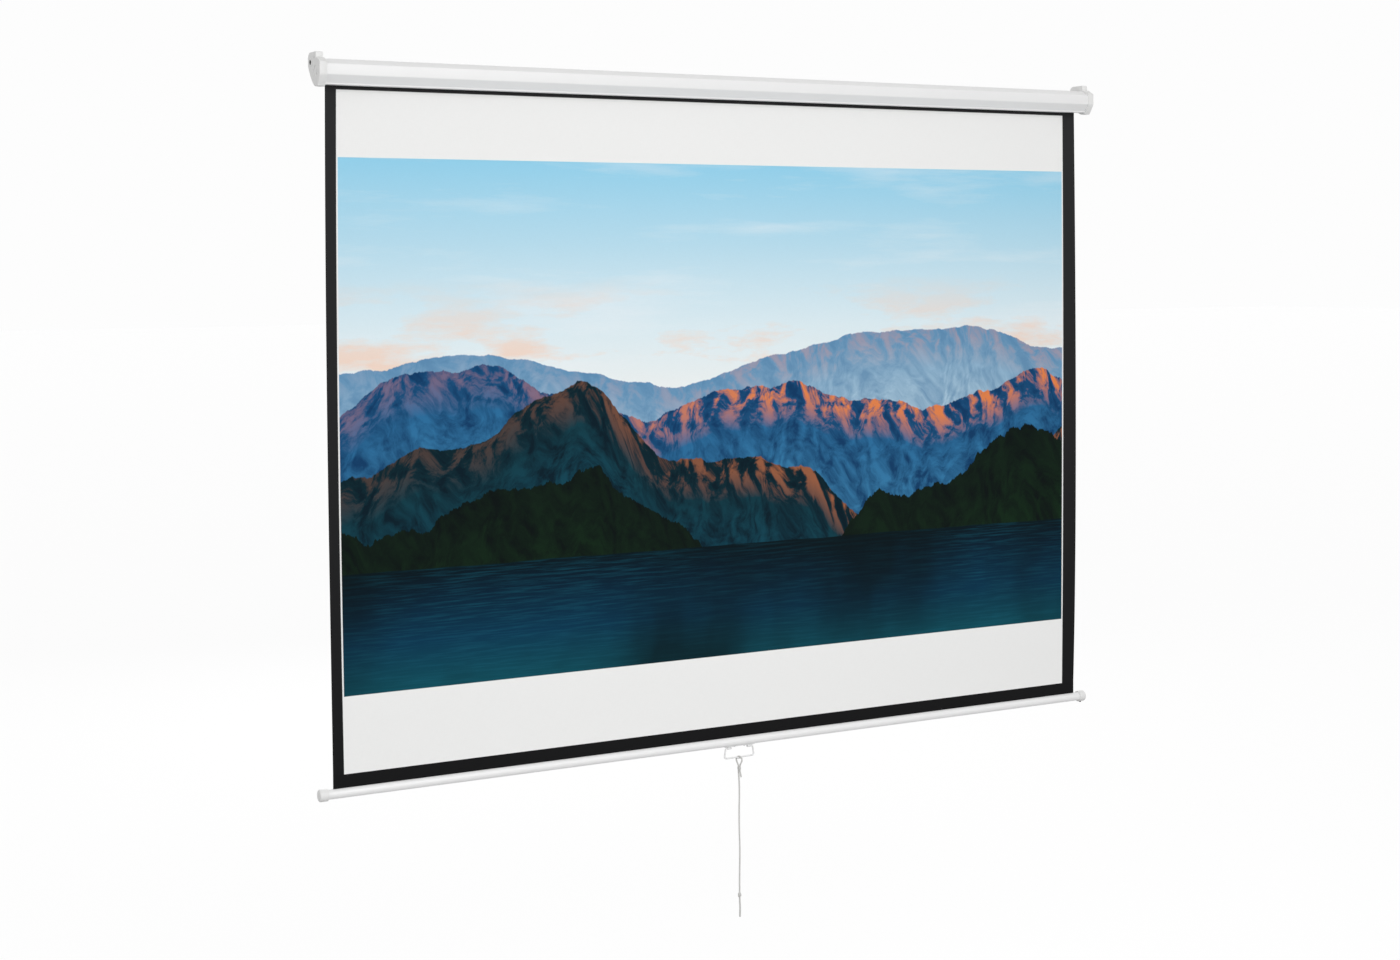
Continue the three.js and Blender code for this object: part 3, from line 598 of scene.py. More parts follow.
@dataclass(frozen=True)
class HardFinish:
    """The finish of a painted, moulded or metal piece. Sizes of its grain are in metres."""

    name: str
    kind: Kind
    colour: Colour
    roughness: float
    grain_size: float = 0.0012
    grain_depth: float = 0.00004
    variation: float = 0.015
    stretch: Triple = (1.0, 1.0, 1.0)
    dust: float = 0.0
    dust_colour: Colour = tone(206, 202, 194)
    roughness_swing: float = 0.12
    coat: float = 0.12
    coat_roughness: float = 0.25

    def make(self, library: Library) -> bpy.types.Material:
        """Makes the material.

        Args:
            library: The shared node groups.

        Returns:
            The material.
        """
        material, graph, shader = blank_material(self.name)
        coordinates = graph.node("ShaderNodeTexCoord", {}).outputs
        place = graph.mapped(coordinates["Object"], self.stretch)
        grain = graph.group(library.grain, {"Vector": place, "Scale": 1 / self.grain_size}).outputs
        darker = tuple(part * (1 - self.variation) for part in self.colour[:3]) + (1.0,)
        colour = graph.mix(grain["Tone"], self.colour, darker)
        if self.dust:
            taken = {"Vector": coordinates["Object"], "Normal": coordinates["Normal"], "Amount": self.dust}
            dust = graph.group(library.dust, taken).outputs["Mask"]
            colour = graph.mix(dust, colour, self.dust_colour)
        graph.feed(shader.inputs["Base Color"], colour)
        low = self.roughness * (1 - self.roughness_swing)
        high = min(1.0, self.roughness * (1 + self.roughness_swing))
        graph.feed(shader.inputs["Roughness"], graph.spread(grain["Height"], *MOST_NOISE, low, high))
        graph.feed(shader.inputs["Normal"], graph.bump(grain["Height"], self.grain_depth))
        if self.kind is Kind.TURNED:
            shader.inputs["Metallic"].default_value = 1.0
        if self.kind is Kind.PAINT:
            shader.inputs["Coat Weight"].default_value = self.coat
            shader.inputs["Coat Roughness"].default_value = self.coat_roughness
        return material


@dataclass(frozen=True)
class ScreenCloth:
    """The coated cloth of the screen: a matt white face with black borders in print, and a black back.

    Places on the cloth are in metres: across from its middle, and up from the roller's axis as drawn.
    """

    white: Colour = tone(244, 244, 243)
    # The black is painted lighter at the top and darker at the bottom, standing in for light falling from
    # above.
    black_high: Colour = tone(45, 45, 46)
    black_low: Colour = tone(23, 23, 24)
    black_bottom: float = -1.6
    face_gloss: float = 0.12
    back_gloss: float = 0.1
    weave_pitch: float = 0.0009
    weave_depth: float = 0.00003
    slub_shade: float = 0.965
    roughness: Pair = (0.86, 0.98)
    white_left: float = -1.020
    white_right: float = 1.007
    white_top: float = -0.058
    picture_gap: float = 0.0036
    picture_top: float = -0.207
    picture_bottom: float = -1.408
    far_below: float = -10.0
    soft_edge: float = 0.0006

    def inside(self, graph: Graph, value: Socket, low: float, high: float) -> Socket:
        """Masks what lies between two places, with the soft edge of print.

        Args:
            graph: The material's nodes.
            value: The place across or up the cloth.
            low: Where the mask starts.
            high: Where it ends.

        Returns:
            1 between the places and 0 outside them.
        """
        above = graph.spread(value, low - self.soft_edge, low + self.soft_edge)
        below = graph.spread(value, high - self.soft_edge, high + self.soft_edge, 1.0, 0.0)
        return graph.math("MULTIPLY", above, below)

    def black(self, graph: Graph) -> Socket:
        """Mixes the black of the print and the back, painted lighter towards the top as light falling from
        above.

        Args:
            graph: The material's nodes.

        Returns:
            The colour.
        """
        cloth = graph.node("ShaderNodeUVMap", {}, uv_map="cloth").outputs[0]
        up = graph.node("ShaderNodeSeparateXYZ", {0: cloth}).outputs[1]
        painted_falloff = graph.spread(up, self.black_bottom, self.white_top)
        return graph.mix(painted_falloff, self.black_low, self.black_high)

    def surface(
        self, graph: Graph, shader: bpy.types.Node, library: Library, colour: object, gloss: float
    ) -> None:
        """Gives a shader the cloth's weave and its matt gloss.

        Args:
            graph: The material's nodes.
            shader: The shader.
            library: The shared node groups.
            colour: The cloth's colour.
            gloss: The level of its gloss.
        """
        cloth = graph.node("ShaderNodeUVMap", {}, uv_map="cloth").outputs[0]
        weave = graph.group(library.weave, {"Vector": cloth, "Pitch": self.weave_pitch}).outputs
        shade = graph.spread(weave["Slub"], 0.0, 1.0, self.slub_shade, 1.0)
        grey = graph.node("ShaderNodeCombineColor", {0: shade, 1: shade, 2: shade}).outputs[0]
        graph.feed(shader.inputs["Base Color"], graph.mix(1.0, colour, grey, "MULTIPLY"))
        graph.feed(shader.inputs["Roughness"], graph.spread(weave["Height"], *ALL_NOISE, *self.roughness))
        graph.feed(shader.inputs["Normal"], graph.bump(weave["Height"], self.weave_depth))
        shader.inputs["Specular IOR Level"].default_value = gloss

    def face(self, library: Library) -> bpy.types.Material:
        """Makes the face: white, with its black borders and leader in print, and the projected view painted
        in as projected light.

        Args:
            library: The shared node groups.

        Returns:
            The material.
        """
        material, graph, shader = blank_material("screen_face")
        cloth = graph.node("ShaderNodeUVMap", {}, uv_map="cloth").outputs[0]
        parts = graph.node("ShaderNodeSeparateXYZ", {0: cloth}).outputs
        left, right = self.white_left + self.picture_gap, self.white_right - self.picture_gap
        width, height = right - left, self.picture_top - self.picture_bottom
        start = (-left / width, -self.picture_bottom / height, 0.0)
        shares = graph.mapped(cloth, (1 / width, 1 / height, 0.0), start)
        # The projected picture is painted into the cloth's colour: painted projected light, not print.
        view = graph.group(library.view, {"Vector": shares}).outputs["Color"]
        lit_across = self.inside(graph, parts[0], left, right)
        lit_up = self.inside(graph, parts[1], self.picture_bottom, self.picture_top)
        projected_on_white = graph.mix(graph.math("MULTIPLY", lit_across, lit_up), self.white, view)
        across = self.inside(graph, parts[0], self.white_left, self.white_right)
        up = self.inside(graph, parts[1], self.far_below, self.white_top)
        # The black print and leader carry the painted light falloff of black(), lighter towards the top.
        print_and_painted_light = graph.mix(graph.math("MULTIPLY", across, up), self.black(graph), projected_on_white)
        self.surface(graph, shader, library, print_and_painted_light, self.face_gloss)
        return material

    def back(self, library: Library) -> bpy.types.Material:
        """Makes the black coating of the back, the hem and the turns on the roller.

        Args:
            library: The shared node groups.

        Returns:
            The material.
        """
        material, graph, shader = blank_material("screen_black")
        # The back's black carries the same painted light falloff, lighter towards the top.
        self.surface(graph, shader, library, self.black(graph), self.back_gloss)
        return material


@dataclass(frozen=True)
class CordCotton:
    """The white cotton of the braided pull cord."""

    colour: Colour = tone(226, 226, 224)
    shade: Colour = tone(200, 199, 196)
    fibre_depth: float = 0.00006
    roughness: Pair = (0.84, 0.98)
    sheen: float = 0.2
    gloss: float = 0.3

    def make(self, library: Library) -> bpy.types.Material:
        """Makes the material.

        Args:
            library: The shared node groups.

        Returns:
            The material.
        """
        material, graph, shader = blank_material("cord_cotton")
        place = graph.node("ShaderNodeTexCoord", {}).outputs["Object"]
        fibre = graph.group(library.fibre, {"Vector": place}).outputs
        graph.feed(shader.inputs["Base Color"], graph.mix(fibre["Shade"], self.colour, self.shade))
        graph.feed(shader.inputs["Roughness"], graph.spread(fibre["Height"], *ALL_NOISE, *self.roughness))
        graph.feed(shader.inputs["Normal"], graph.bump(fibre["Height"], self.fibre_depth))
        shader.inputs["Sheen Weight"].default_value = self.sheen
        shader.inputs["Specular IOR Level"].default_value = self.gloss
        return material


class Finishes:
    """Every finish of the screen, made once, by name."""

    def __init__(self) -> None:
        """Makes the materials."""
        library = Library()
        cloth = ScreenCloth()
        hard = (
            HardFinish("casing_coat", Kind.PAINT, tone(238, 238, 238), roughness=0.42, dust=0.1),
            HardFinish(
                "cap_plastic", Kind.MOULDED, tone(231, 231, 230), roughness=0.46, grain_size=0.0008,
                grain_depth=0.00003, dust=0.1,
            ),
            HardFinish("bar_coat", Kind.PAINT, tone(240, 240, 240), roughness=0.36, dust=0.05),
            HardFinish(
                "bar_cap_plastic", Kind.MOULDED, tone(232, 232, 231), roughness=0.5, grain_size=0.0008,
                grain_depth=0.00003,
            ),
            HardFinish(
                "wire_coat", Kind.PAINT, tone(234, 234, 234), roughness=0.36, grain_size=0.0009,
                grain_depth=0.00003,
            ),
            HardFinish(
                "plated_steel", Kind.TURNED, tone(196, 198, 201), roughness=0.3, grain_size=0.0006,
                grain_depth=0.00001, variation=0.12,
            ),
            # Besides the black screws, this finish paints the caps' hanging holes dark, as painted shade.
            HardFinish(
                "black_steel_and_hole_shade", Kind.TURNED, tone(30, 30, 31), roughness=0.42, grain_size=0.0006,
                grain_depth=0.00002, variation=0.2,
            ),
            HardFinish(
                "drawn_aluminium", Kind.TURNED, tone(204, 206, 208), roughness=0.34, grain_size=0.0007,
                grain_depth=0.00001, variation=0.1, stretch=(0.02, 1.0, 1.0),
            ),
            HardFinish(
                "grey_plastic", Kind.MOULDED, tone(112, 114, 118), roughness=0.58, grain_size=0.0007,
                grain_depth=0.00003, variation=0.1,
            ),
            HardFinish(
                "oiled_spring_steel", Kind.TURNED, tone(112, 114, 118), roughness=0.36,
                grain_size=0.0005, grain_depth=0.00001, variation=0.25,
            ),
        )
        self.by_name = {finish.name: finish.make(library) for finish in hard}
        self.face = cloth.face(library)
        self.black = cloth.back(library)
        self.cord = CordCotton().make(library)

    def __getitem__(self, name: str) -> bpy.types.Material:
        """Returns a hard finish by its name."""
        return self.by_name[name]


# Shapes


def revolved(profile: Sequence[Pair], steps: int = FINE_SIDES, closed: bool = False) -> Mesh:
    """Spins a profile about the X axis.

    Args:
        profile: Pairs of the place along X and the radius.
        steps: The number of steps round.
        closed: Whether the profile's ends meet.

    Returns:
        A closed mesh, if the profile is closed or ends on the axis.
    """
    bm = bmesh.new()
    verts = [bm.verts.new((along, 0.0, radius)) for along, radius in profile]
    follow = verts[1:] + verts[:1] if closed else verts[1:]
    edges = [bm.edges.new(pair) for pair in zip(verts, follow)]
    bmesh.ops.spin(
        bm, geom=verts + edges, cent=(0, 0, 0), axis=(1, 0, 0), angle=2 * math.pi, steps=steps,
        use_merge=True,
    )
    bmesh.ops.remove_doubles(bm, verts=bm.verts, dist=MERGE)
    bmesh.ops.recalc_face_normals(bm, faces=bm.faces)
    return bm


def drum(
    start: float, end: float, radius: float, centre: Pair = (0.0, 0.0), steps: int = SIDES
) -> Mesh:
    """Makes a round bar along X.

    Args:
        start: Where it starts.
        end: Where it ends.
        radius: Its radius.
        centre: The Y and Z of its axis.
        steps: The steps round.

    Returns:
        A closed mesh.
    """
    bm = revolved([(start, 0.0), (start, radius), (end, radius), (end, 0.0)], steps)
    bmesh.ops.translate(bm, verts=bm.verts, vec=(0.0, *centre))
    return bm


def post(bottom: float, top: float, radius: float, centre: Pair) -> Mesh:
    """Makes a round bar along Z.

    Args:
        bottom: The height of its bottom.
        top: The height of its top.
        radius: Its radius.
        centre: The X and Y of its axis.

    Returns:
        A closed mesh.
    """
    bm = drum(bottom, top, radius, steps=SMALL_SIDES)
    bmesh.ops.rotate(bm, verts=bm.verts, cent=(0, 0, 0), matrix=Matrix.Rotation(-math.pi / 2, 3, "Y"))
    bmesh.ops.translate(bm, verts=bm.verts, vec=(*centre, 0.0))
    return bm


def plate(corners: Iterable[Triple], start: float, end: float, segments: int = 5) -> Mesh:
    """Pulls an outline in Y and Z along X.

    Args:
        corners: Each corner's Y, Z and rounding, which is 0 for a sharp one.
        start: The outline's place along X.
        end: Where it is pulled to.
        segments: The faces on each rounding.

    Returns:
        A closed mesh.
    """
    bm = bmesh.new()
    corners = list(corners)
    verts = [bm.verts.new((start, across, up)) for across, up, _ in corners]
    bm.faces.new(verts)
    for vert, (_, _, rounding) in zip(verts, corners):
        if rounding:
            bmesh.ops.bevel(
                bm, geom=[vert], offset=rounding, offset_type="OFFSET", segments=segments, profile=0.5,
                affect="VERTICES", material=-1,
            )
    pull(bm, list(bm.faces), Vector((end - start, 0, 0)))
    return bm


def pull(bm: Mesh, faces: list[bmesh.types.BMFace], by: Vector) -> None:
    """Extrudes faces and turns all faces outwards.

    Args:
        bm: The mesh.
        faces: The faces to extrude.
        by: How far and which way.
    """
    grown = bmesh.ops.extrude_face_region(bm, geom=faces)["geom"]
    moved = [part for part in grown if isinstance(part, bmesh.types.BMVert)]
    bmesh.ops.translate(bm, verts=moved, vec=by)
    bmesh.ops.recalc_face_normals(bm, faces=bm.faces)


def soften(
    bm: Mesh, offset: float, segments: int = 3, pick: EdgeTest = lambda edge: True, angle: float = 32.0
) -> None:
    """Rounds sharp edges.

    Args:
        bm: The mesh.
        offset: How far from the edge the rounding starts.
        segments: The faces across the rounding.
        pick: Whether an edge is rounded.
        angle: The least angle between an edge's faces, in degrees.
    """
    limit = math.radians(angle)
    sharp = [edge for edge in bm.edges if len(edge.link_faces) == 2 and edge.calc_face_angle() > limit]
    edges = [edge for edge in sharp if pick(edge)]
    bmesh.ops.bevel(
        bm, geom=edges, offset=offset, offset_type="OFFSET", segments=segments, profile=0.5, affect="EDGES",
        material=-1, clamp_overlap=True,
    )


def lies_at(place: float) -> EdgeTest:
    """Returns a test for edges across X that lie at one place along it."""
    return lambda edge: all(abs(vert.co.x - place) < NEAR for vert in edge.verts)


class Boolean(Enum):
    """How a second mesh acts on a first one."""

    CUT = "DIFFERENCE"
    JOIN = "UNION"


def combined(base: Mesh, tool: Mesh, how: Boolean) -> Mesh:
    """Cuts a mesh from another, or joins it to it. Both are used up.

    Args:
        base: The mesh that stays.
        tool: The mesh that acts on it.
        how: Cut or join.

    Returns:
        The new mesh.
    """
    objects = []
    for bm, name in ((base, "base"), (tool, "tool")):
        mesh = bpy.data.meshes.new(name)
        bm.to_mesh(mesh)
        bm.free()
        objects.append(bpy.data.objects.new(name, mesh))
        bpy.context.scene.collection.objects.link(objects[-1])
    modifier = objects[0].modifiers.new("shape", "BOOLEAN")
    modifier.operation = how.value
    modifier.solver = "EXACT"
    modifier.object = objects[1]
    shaped = objects[0].evaluated_get(bpy.context.evaluated_depsgraph_get())
    result = bmesh.new()
    result.from_mesh(shaped.to_mesh())
    for made in objects:
        mesh = made.data
        bpy.data.objects.remove(made)
        bpy.data.meshes.remove(mesh)
    return result


def mirrored(bm: Mesh) -> Mesh:
    """Turns a right-hand piece into the left-hand one.

    Args:
        bm: The piece, which is changed.

    Returns:
        The same mesh.
    """
    bmesh.ops.scale(bm, vec=(-1, 1, 1), verts=bm.verts)
    bmesh.ops.recalc_face_normals(bm, faces=bm.faces)
    return bm


def wire_path(corners: Sequence[Triple], steps: int = 7) -> list[Vector]:
    """Rounds the corners of a wire's route with arcs.

    Args:
        corners: Each corner's X, Z and bend radius.
        steps: The steps round each bend.

    Returns:
        The points of the wire's centreline.
    """
    route: list[Vector] = []
    for index, (across, up, bend) in enumerate(corners):
        corner = Vector((across, 0, up))
        if not bend:
            route.append(corner)
            continue
        before = (Vector((corners[index - 1][0], 0, corners[index - 1][1])) - corner).normalized()
        after = (Vector((corners[index + 1][0], 0, corners[index + 1][1])) - corner).normalized()
        half = before.angle(after) / 2
        centre = corner + (before + after).normalized() * (bend / math.sin(half))
        start = corner + before * (bend / math.tan(half)) - centre
        end = corner + after * (bend / math.tan(half)) - centre
        turn = start.rotation_difference(end)
        for step in range(steps + 1):
            share = Matrix.Rotation(turn.angle * step / steps, 3, turn.axis)
            route.append(centre + share @ start)
    return route


def swept(route: Sequence[Vector], radius: float, sides: int = 20) -> Mesh:
    """Carries a circle along a route, ring by ring, and closes both ends.

    Args:
        route: The points of the centreline.
        radius: The circle's radius.
        sides: The circle's sides.

    Returns:
        A closed tube.
    """
    along = [(after - before).normalized() for before, after in zip(route, route[1:])]
    turns = [along[0]] + [(one + two).normalized() for one, two in zip(along, along[1:])] + [along[-1]]
    bm = bmesh.new()
    stand = Vector((0, 0, 1)).rotation_difference(turns[0]).to_matrix().to_4x4()
    matrix = Matrix.Translation(route[0]) @ stand
    bmesh.ops.create_circle(bm, cap_ends=True, radius=radius, segments=sides, matrix=matrix)
    edges = list(bm.edges)
    for index in range(1, len(route)):
        grown = bmesh.ops.extrude_edge_only(bm, edges=edges)["geom"]
        verts = [part for part in grown if isinstance(part, bmesh.types.BMVert)]
        joined = [part for part in grown if isinstance(part, bmesh.types.BMEdge)]
        edges = [edge for edge in joined if all(vert in verts for vert in edge.verts)]
        turn = turns[index - 1].rotation_difference(turns[index]).to_matrix()
        bmesh.ops.rotate(bm, verts=verts, cent=route[index - 1], matrix=turn)
        bmesh.ops.translate(bm, verts=verts, vec=route[index] - route[index - 1])
    bmesh.ops.contextual_create(bm, geom=edges)
    bmesh.ops.recalc_face_normals(bm, faces=bm.faces)
    return bm


# Pieces


@dataclass(frozen=True)
class Duty:
    """What a piece stands for: the body it rides on, its finish slot and the CAD nodes it replaces."""

    body: str
    slot: str
    nodes: tuple[str, ...]


def finished(name: str, bm: Mesh, duty: Duty, *materials: bpy.types.Material) -> bpy.types.Object:
    """Turns a mesh into a piece of the screen.

    Args:
        name: The piece's name.
        bm: Its mesh, in millimetres, which is used up.
        duty: What it stands for.
        materials: Its materials.

    Returns:
        The piece.
    """
    bmesh.ops.scale(bm, vec=(MM, MM, MM), verts=bm.verts)
    mesh = bpy.data.meshes.new(name)
    bm.normal_update()
    bm.to_mesh(mesh)
    bm.free()
    for material in materials:
        mesh.materials.append(material)
    mesh.shade_smooth()
    mesh.set_sharp_from_angle(angle=SMOOTH_ANGLE)
    piece = bpy.data.objects.new(name, mesh)
    bpy.context.scene.collection.objects.link(piece)
    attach(piece, duty.body)
    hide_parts(*duty.nodes)
    LOG.info("%s: %d faces, rides on %s", name, len(mesh.polygons), duty.body)
    return piece


@dataclass(frozen=True)
class Screw:
    """A small cross-head screw, whose shares are of its head's height and radius or its shank's radius."""

    head_radius: float
    head_height: float
    shank_radius: float
    length: float
    tip_share: float = 0.4
    shoulder_share: float = 0.45
    dome_shares: Pair = (0.08, 0.55)
    rounding_share: float = 0.12
    rounded_share: float = 0.9
    rounded_angle: float = 25.0
    slot_shares: Triple = (1.1, 0.26, 1.15)

    def build(self) -> Mesh:
        """Builds the screw with a rounded head, a cross recess and a chamfered tip.

        Returns:
            The screw along X, with its head's top at 0.
        """
        high, wide = self.head_height, self.head_radius
        tip = self.shank_radius * self.tip_share
        dome_high, dome_wide = self.dome_shares
        bm = revolved([
            (-self.length, 0.0),
            (-self.length, tip),
            (-self.length + tip, self.shank_radius),
            (-high, self.shank_radius),
            (-high, wide),
            (-high * self.shoulder_share, wide),
            (-high * dome_high, wide * dome_wide),
            (0.0, 0.0),
        ], SMALL_SIDES)
        on_head = -high * self.rounded_share
        rounding = high * self.rounding_share
        soften(bm, rounding, 2, lambda edge: edge.verts[0].co.x > on_head, self.rounded_angle)
        size = [part * share for part, share in zip((high, wide, wide), self.slot_shares)]
        for turn in (0.0, math.pi / 2):
            slot = bmesh.new()
            bmesh.ops.create_cube(slot, size=1.0)
            bmesh.ops.scale(slot, vec=size, verts=slot.verts)
            bmesh.ops.rotate(slot, verts=slot.verts, cent=(0, 0, 0), matrix=Matrix.Rotation(turn, 3, "X"))
            bm = combined(bm, slot, Boolean.CUT)
        return bm

    def placed(self, place: Sequence[float], pointing: Sequence[float]) -> Mesh:
        """Builds the screw in its place.

        Args:
            place: Where the top of its head is.
            pointing: The way that its head points.

        Returns:
            The screw.
        """
        bm = self.build()
        turn = Vector((1, 0, 0)).rotation_difference(Vector(pointing)).to_matrix()
        bmesh.ops.rotate(bm, verts=bm.verts, cent=(0, 0, 0), matrix=turn)
        bmesh.ops.translate(bm, verts=bm.verts, vec=place)
        return bm


@dataclass(frozen=True)
class Casing:
    """The folded steel casing."""

    half_length: float = 1070.9
    wall: float = 0.8
    fold: float = 1.4
    run: tuple[Pair, ...] = (
        (-36, -45), (-36, -50), (-59, -50), (-59, -46.5), (-76, -29.5), (-76, -5.5), (-52, 7), (-38, 7),
        (-24, -8), (-24, -34),
    )

    def build(self, finishes: Finishes) -> None:
        """Builds the casing: a run of edges pulled along X, rounded at its folds and given its wall.

        Args:
            finishes: The finishes.
        """
        bm = bmesh.new()
        verts = [bm.verts.new((-self.half_length, across, up)) for across, up in self.run]
        edges = [bm.edges.new(pair) for pair in zip(verts, verts[1:])]
        grown = bmesh.ops.extrude_edge_only(bm, edges=edges)["geom"]
        moved = [part for part in grown if isinstance(part, bmesh.types.BMVert)]
        bmesh.ops.translate(bm, verts=moved, vec=(2 * self.half_length, 0, 0))
        bmesh.ops.recalc_face_normals(bm, faces=bm.faces)
        top = max(bm.faces, key=lambda face: face.calc_center_median().z)
        if top.normal.z < 0:
            bmesh.ops.reverse_faces(bm, faces=bm.faces)
        soften(bm, self.fold, 4, angle=20)
        bmesh.ops.solidify(bm, geom=list(bm.faces), thickness=self.wall)
        bmesh.ops.recalc_face_normals(bm, faces=bm.faces)
        finished("casing", bm, Duty("casing", "casing_paint", ("casing_shell",)), finishes["casing_coat"])


@dataclass(frozen=True)
class EndCaps:
    """The two moulded end caps with their hanging ears, the ears' holes, whose walls are painted dark as
    painted shade, and the screws.

    The sizes are those of the right cap. Pairs are Y and Z, apart from the lower screw's X and Y.
    """

    inner: float = 1057.0
    face: float = 1074.2
    floor: float = 1071.2
    end: float = 1075.0
    axle: Pair = AXLE
    boss_start: float = 1060.0
    boss_radius: float = 9.0
    boss_root: float = 0.5
    pin_bore: float = 6.3
    tongue_seat: Pair = (3.6, 8.6)
    recess_depth: float = 1.0
    recess_floor: Pair = (8.6, 11.9)
    recess_mouth: Pair = (7.6, 12.9)
    hole: Pair = (-17.0, 0.0)
    hole_radius: float = 5.5
    hole_chamfer: Pair = (0.7, 1.7)
    hole_shade_margin: float = 0.2
    rim_radius: float = 8.1
    rim_root: float = 1.0
    rim_rounding: float = 0.45
    rim_stretch: float = 1.15
    ear_screw: Pair = (-42.0, 9.5)
    ear_screw_seat: Pair = (1.6, 2.6)
    ear_screw_bore: Pair = (11.0, 1.5)
    ear_screw_form: Screw = Screw(head_radius=2.3, head_height=1.3, shank_radius=1.2, length=10.3)
    cap_screw: Pair = (1065.0, -52.0)
    cap_screw_seat: Pair = (2.0, 3.2)
    cap_screw_bore: Pair = (7.0, 1.8)
    cap_screw_sunk: float = 0.1
    cap_screw_form: Screw = Screw(head_radius=2.9, head_height=1.6, shank_radius=1.5, length=7.5)
    bottom: float = -55.0
    outer_rounding: float = 1.5
    inner_rounding: float = 0.5
    front: tuple[Triple, ...] = (
        (-62.0, -55.0, 2.5), (-78.0, -30.5, 3.0), (-78.0, -1.5, 3.0), (-58.0, 9.0, 2.0), (-52.0, 9.0, 0.0),
        (-52.0, 22.0, 3.0), (0.0, 22.0, 14.0),
    )
    back: tuple[Pair, ...] = ((0.0, -8.0), (-8.0, -22.0), (-28.0, -52.0), (-48.0, -55.0))
    back_steps: int = 14
    last_rounding: float = 1.5
    pocket_middle: Triple = (0.0, -50.0, -21.5)
    pocket_room: Triple = (1.0, 1.0115, 1.0105)

    def outline(self) -> list[Triple]:
        """Draws the cap's outline seen along X: the front's corners, then the curve of its back.

        Returns:
            Each corner's Y, Z and rounding.
        """
        corners = list(self.front)
        for step in range(self.back_steps + 1):
            share = step / self.back_steps
            weights = [(1 - share) ** 3, 3 * share * (1 - share) ** 2, 3 * share**2 * (1 - share), share**3]
            across = sum(weight * point[0] for weight, point in zip(weights, self.back))
            up = sum(weight * point[1] for weight, point in zip(weights, self.back))
            corners.append((across, up, self.last_rounding if step == self.back_steps else 0.0))
        return corners

    def pocket(self) -> Mesh:
        """Makes the cut that takes the casing: the casing's outline, a little larger.

        Returns:
            The cut.
        """
        loop = [(across, up, 0.0) for across, up in Casing().run[1:]]
        bm = plate(loop, self.inner - OVERRUN, self.floor)
        middle = Vector(self.pocket_middle)
        bmesh.ops.translate(bm, verts=bm.verts, vec=-middle)
        bmesh.ops.scale(bm, vec=self.pocket_room, verts=bm.verts)
        bmesh.ops.translate(bm, verts=bm.verts, vec=middle)
        return bm

    def cutters(self, side: int) -> list[Mesh]:
        """Makes the cuts of a cap: its hanging hole, axle recess, screw seats and the axle's bore.

        Args:
            side: 1 for the right, whose bore is a tongue's seat, -1 for the left, whose bore is round.

        Returns:
            The cuts, as for the right cap.
        """
        outward = self.end + OVERRUN
        inward = self.inner - OVERRUN
        depth, flare = self.hole_chamfer
        hole = revolved([
            (inward, 0.0), (inward, self.hole_radius), (self.end - depth, self.hole_radius),
            (outward, self.hole_radius + flare), (outward, 0.0),
        ], SIDES)
        bmesh.ops.translate(hole, verts=hole.verts, vec=(0.0, *self.hole))
        recess_floor = self.face - self.recess_depth
        recess = revolved([
            (recess_floor, self.recess_floor[0]), (recess_floor, self.recess_floor[1]),
            (outward, self.recess_mouth[1]), (outward, self.recess_mouth[0]),
        ], closed=True)
        bmesh.ops.translate(recess, verts=recess.verts, vec=(0.0, *self.axle))
        ear_seat, ear_bore = self.ear_screw_seat, self.ear_screw_bore
        cap_seat, cap_bore = self.cap_screw_seat, self.cap_screw_bore
        cuts = [
            hole,
            recess,
            drum(self.face - ear_seat[0], outward, ear_seat[1], self.ear_screw),
            drum(self.face - ear_bore[0], self.face - OVERRUN, ear_bore[1], self.ear_screw),
            post(self.bottom - OVERRUN, self.bottom + cap_seat[0], cap_seat[1], self.cap_screw),
            post(self.bottom, self.bottom + cap_bore[0], cap_bore[1], self.cap_screw),
        ]
        if side < 0:
            cuts.append(drum(self.boss_start - OVERRUN, self.floor, self.pin_bore, self.axle))
        else:
            tongue = bmesh.new()
            size = (self.floor - self.boss_start + OVERRUN, *self.tongue_seat)
            bmesh.ops.create_cube(tongue, size=1.0)
            bmesh.ops.scale(tongue, vec=size, verts=tongue.verts)
            middle = ((self.floor + self.boss_start - OVERRUN) / 2, *self.axle)
            bmesh.ops.translate(tongue, verts=tongue.verts, vec=middle)
            cuts.append(tongue)
        return cuts

    def cap(self, side: int) -> Mesh:
        """Builds one cap, as the right-hand one, and mirrors it for the left.

        Args:
            side: 1 for the right, -1 for the left.

        Returns:
            The cap's mesh.
        """
        bm = plate(self.outline(), self.inner, self.face)
        soften(bm, self.outer_rounding, 4, lies_at(self.face))
        soften(bm, self.inner_rounding, 2, lies_at(self.inner))
        bm = combined(bm, self.pocket(), Boolean.CUT)
        boss = drum(self.boss_start, self.floor + self.boss_root, self.boss_radius, self.axle)
        bm = combined(bm, boss, Boolean.JOIN)
        rim = drum(self.face - self.rim_root, self.end, self.rim_radius)
        soften(rim, self.rim_rounding, 3, lies_at(self.end))
        bmesh.ops.scale(rim, vec=(1, 1, self.rim_stretch), verts=rim.verts)
        bmesh.ops.translate(rim, verts=rim.verts, vec=(0.0, *self.hole))
        bm = combined(bm, rim, Boolean.JOIN)
        for cutter in self.cutters(side):
            bm = combined(bm, cutter, Boolean.CUT)
        # The hanging holes' walls take the second material: a dark painted shade, with no real lining.
        for face in bm.faces:
            middle = face.calc_center_median()
            reach = math.dist((middle.y, middle.z), self.hole)
            in_hole_shade = reach < self.hole_radius + self.hole_shade_margin and abs(face.normal.x) < self.hole_shade_margin
            face.material_index = 1 if in_hole_shade else 0
        return bm if side > 0 else mirrored(bm)

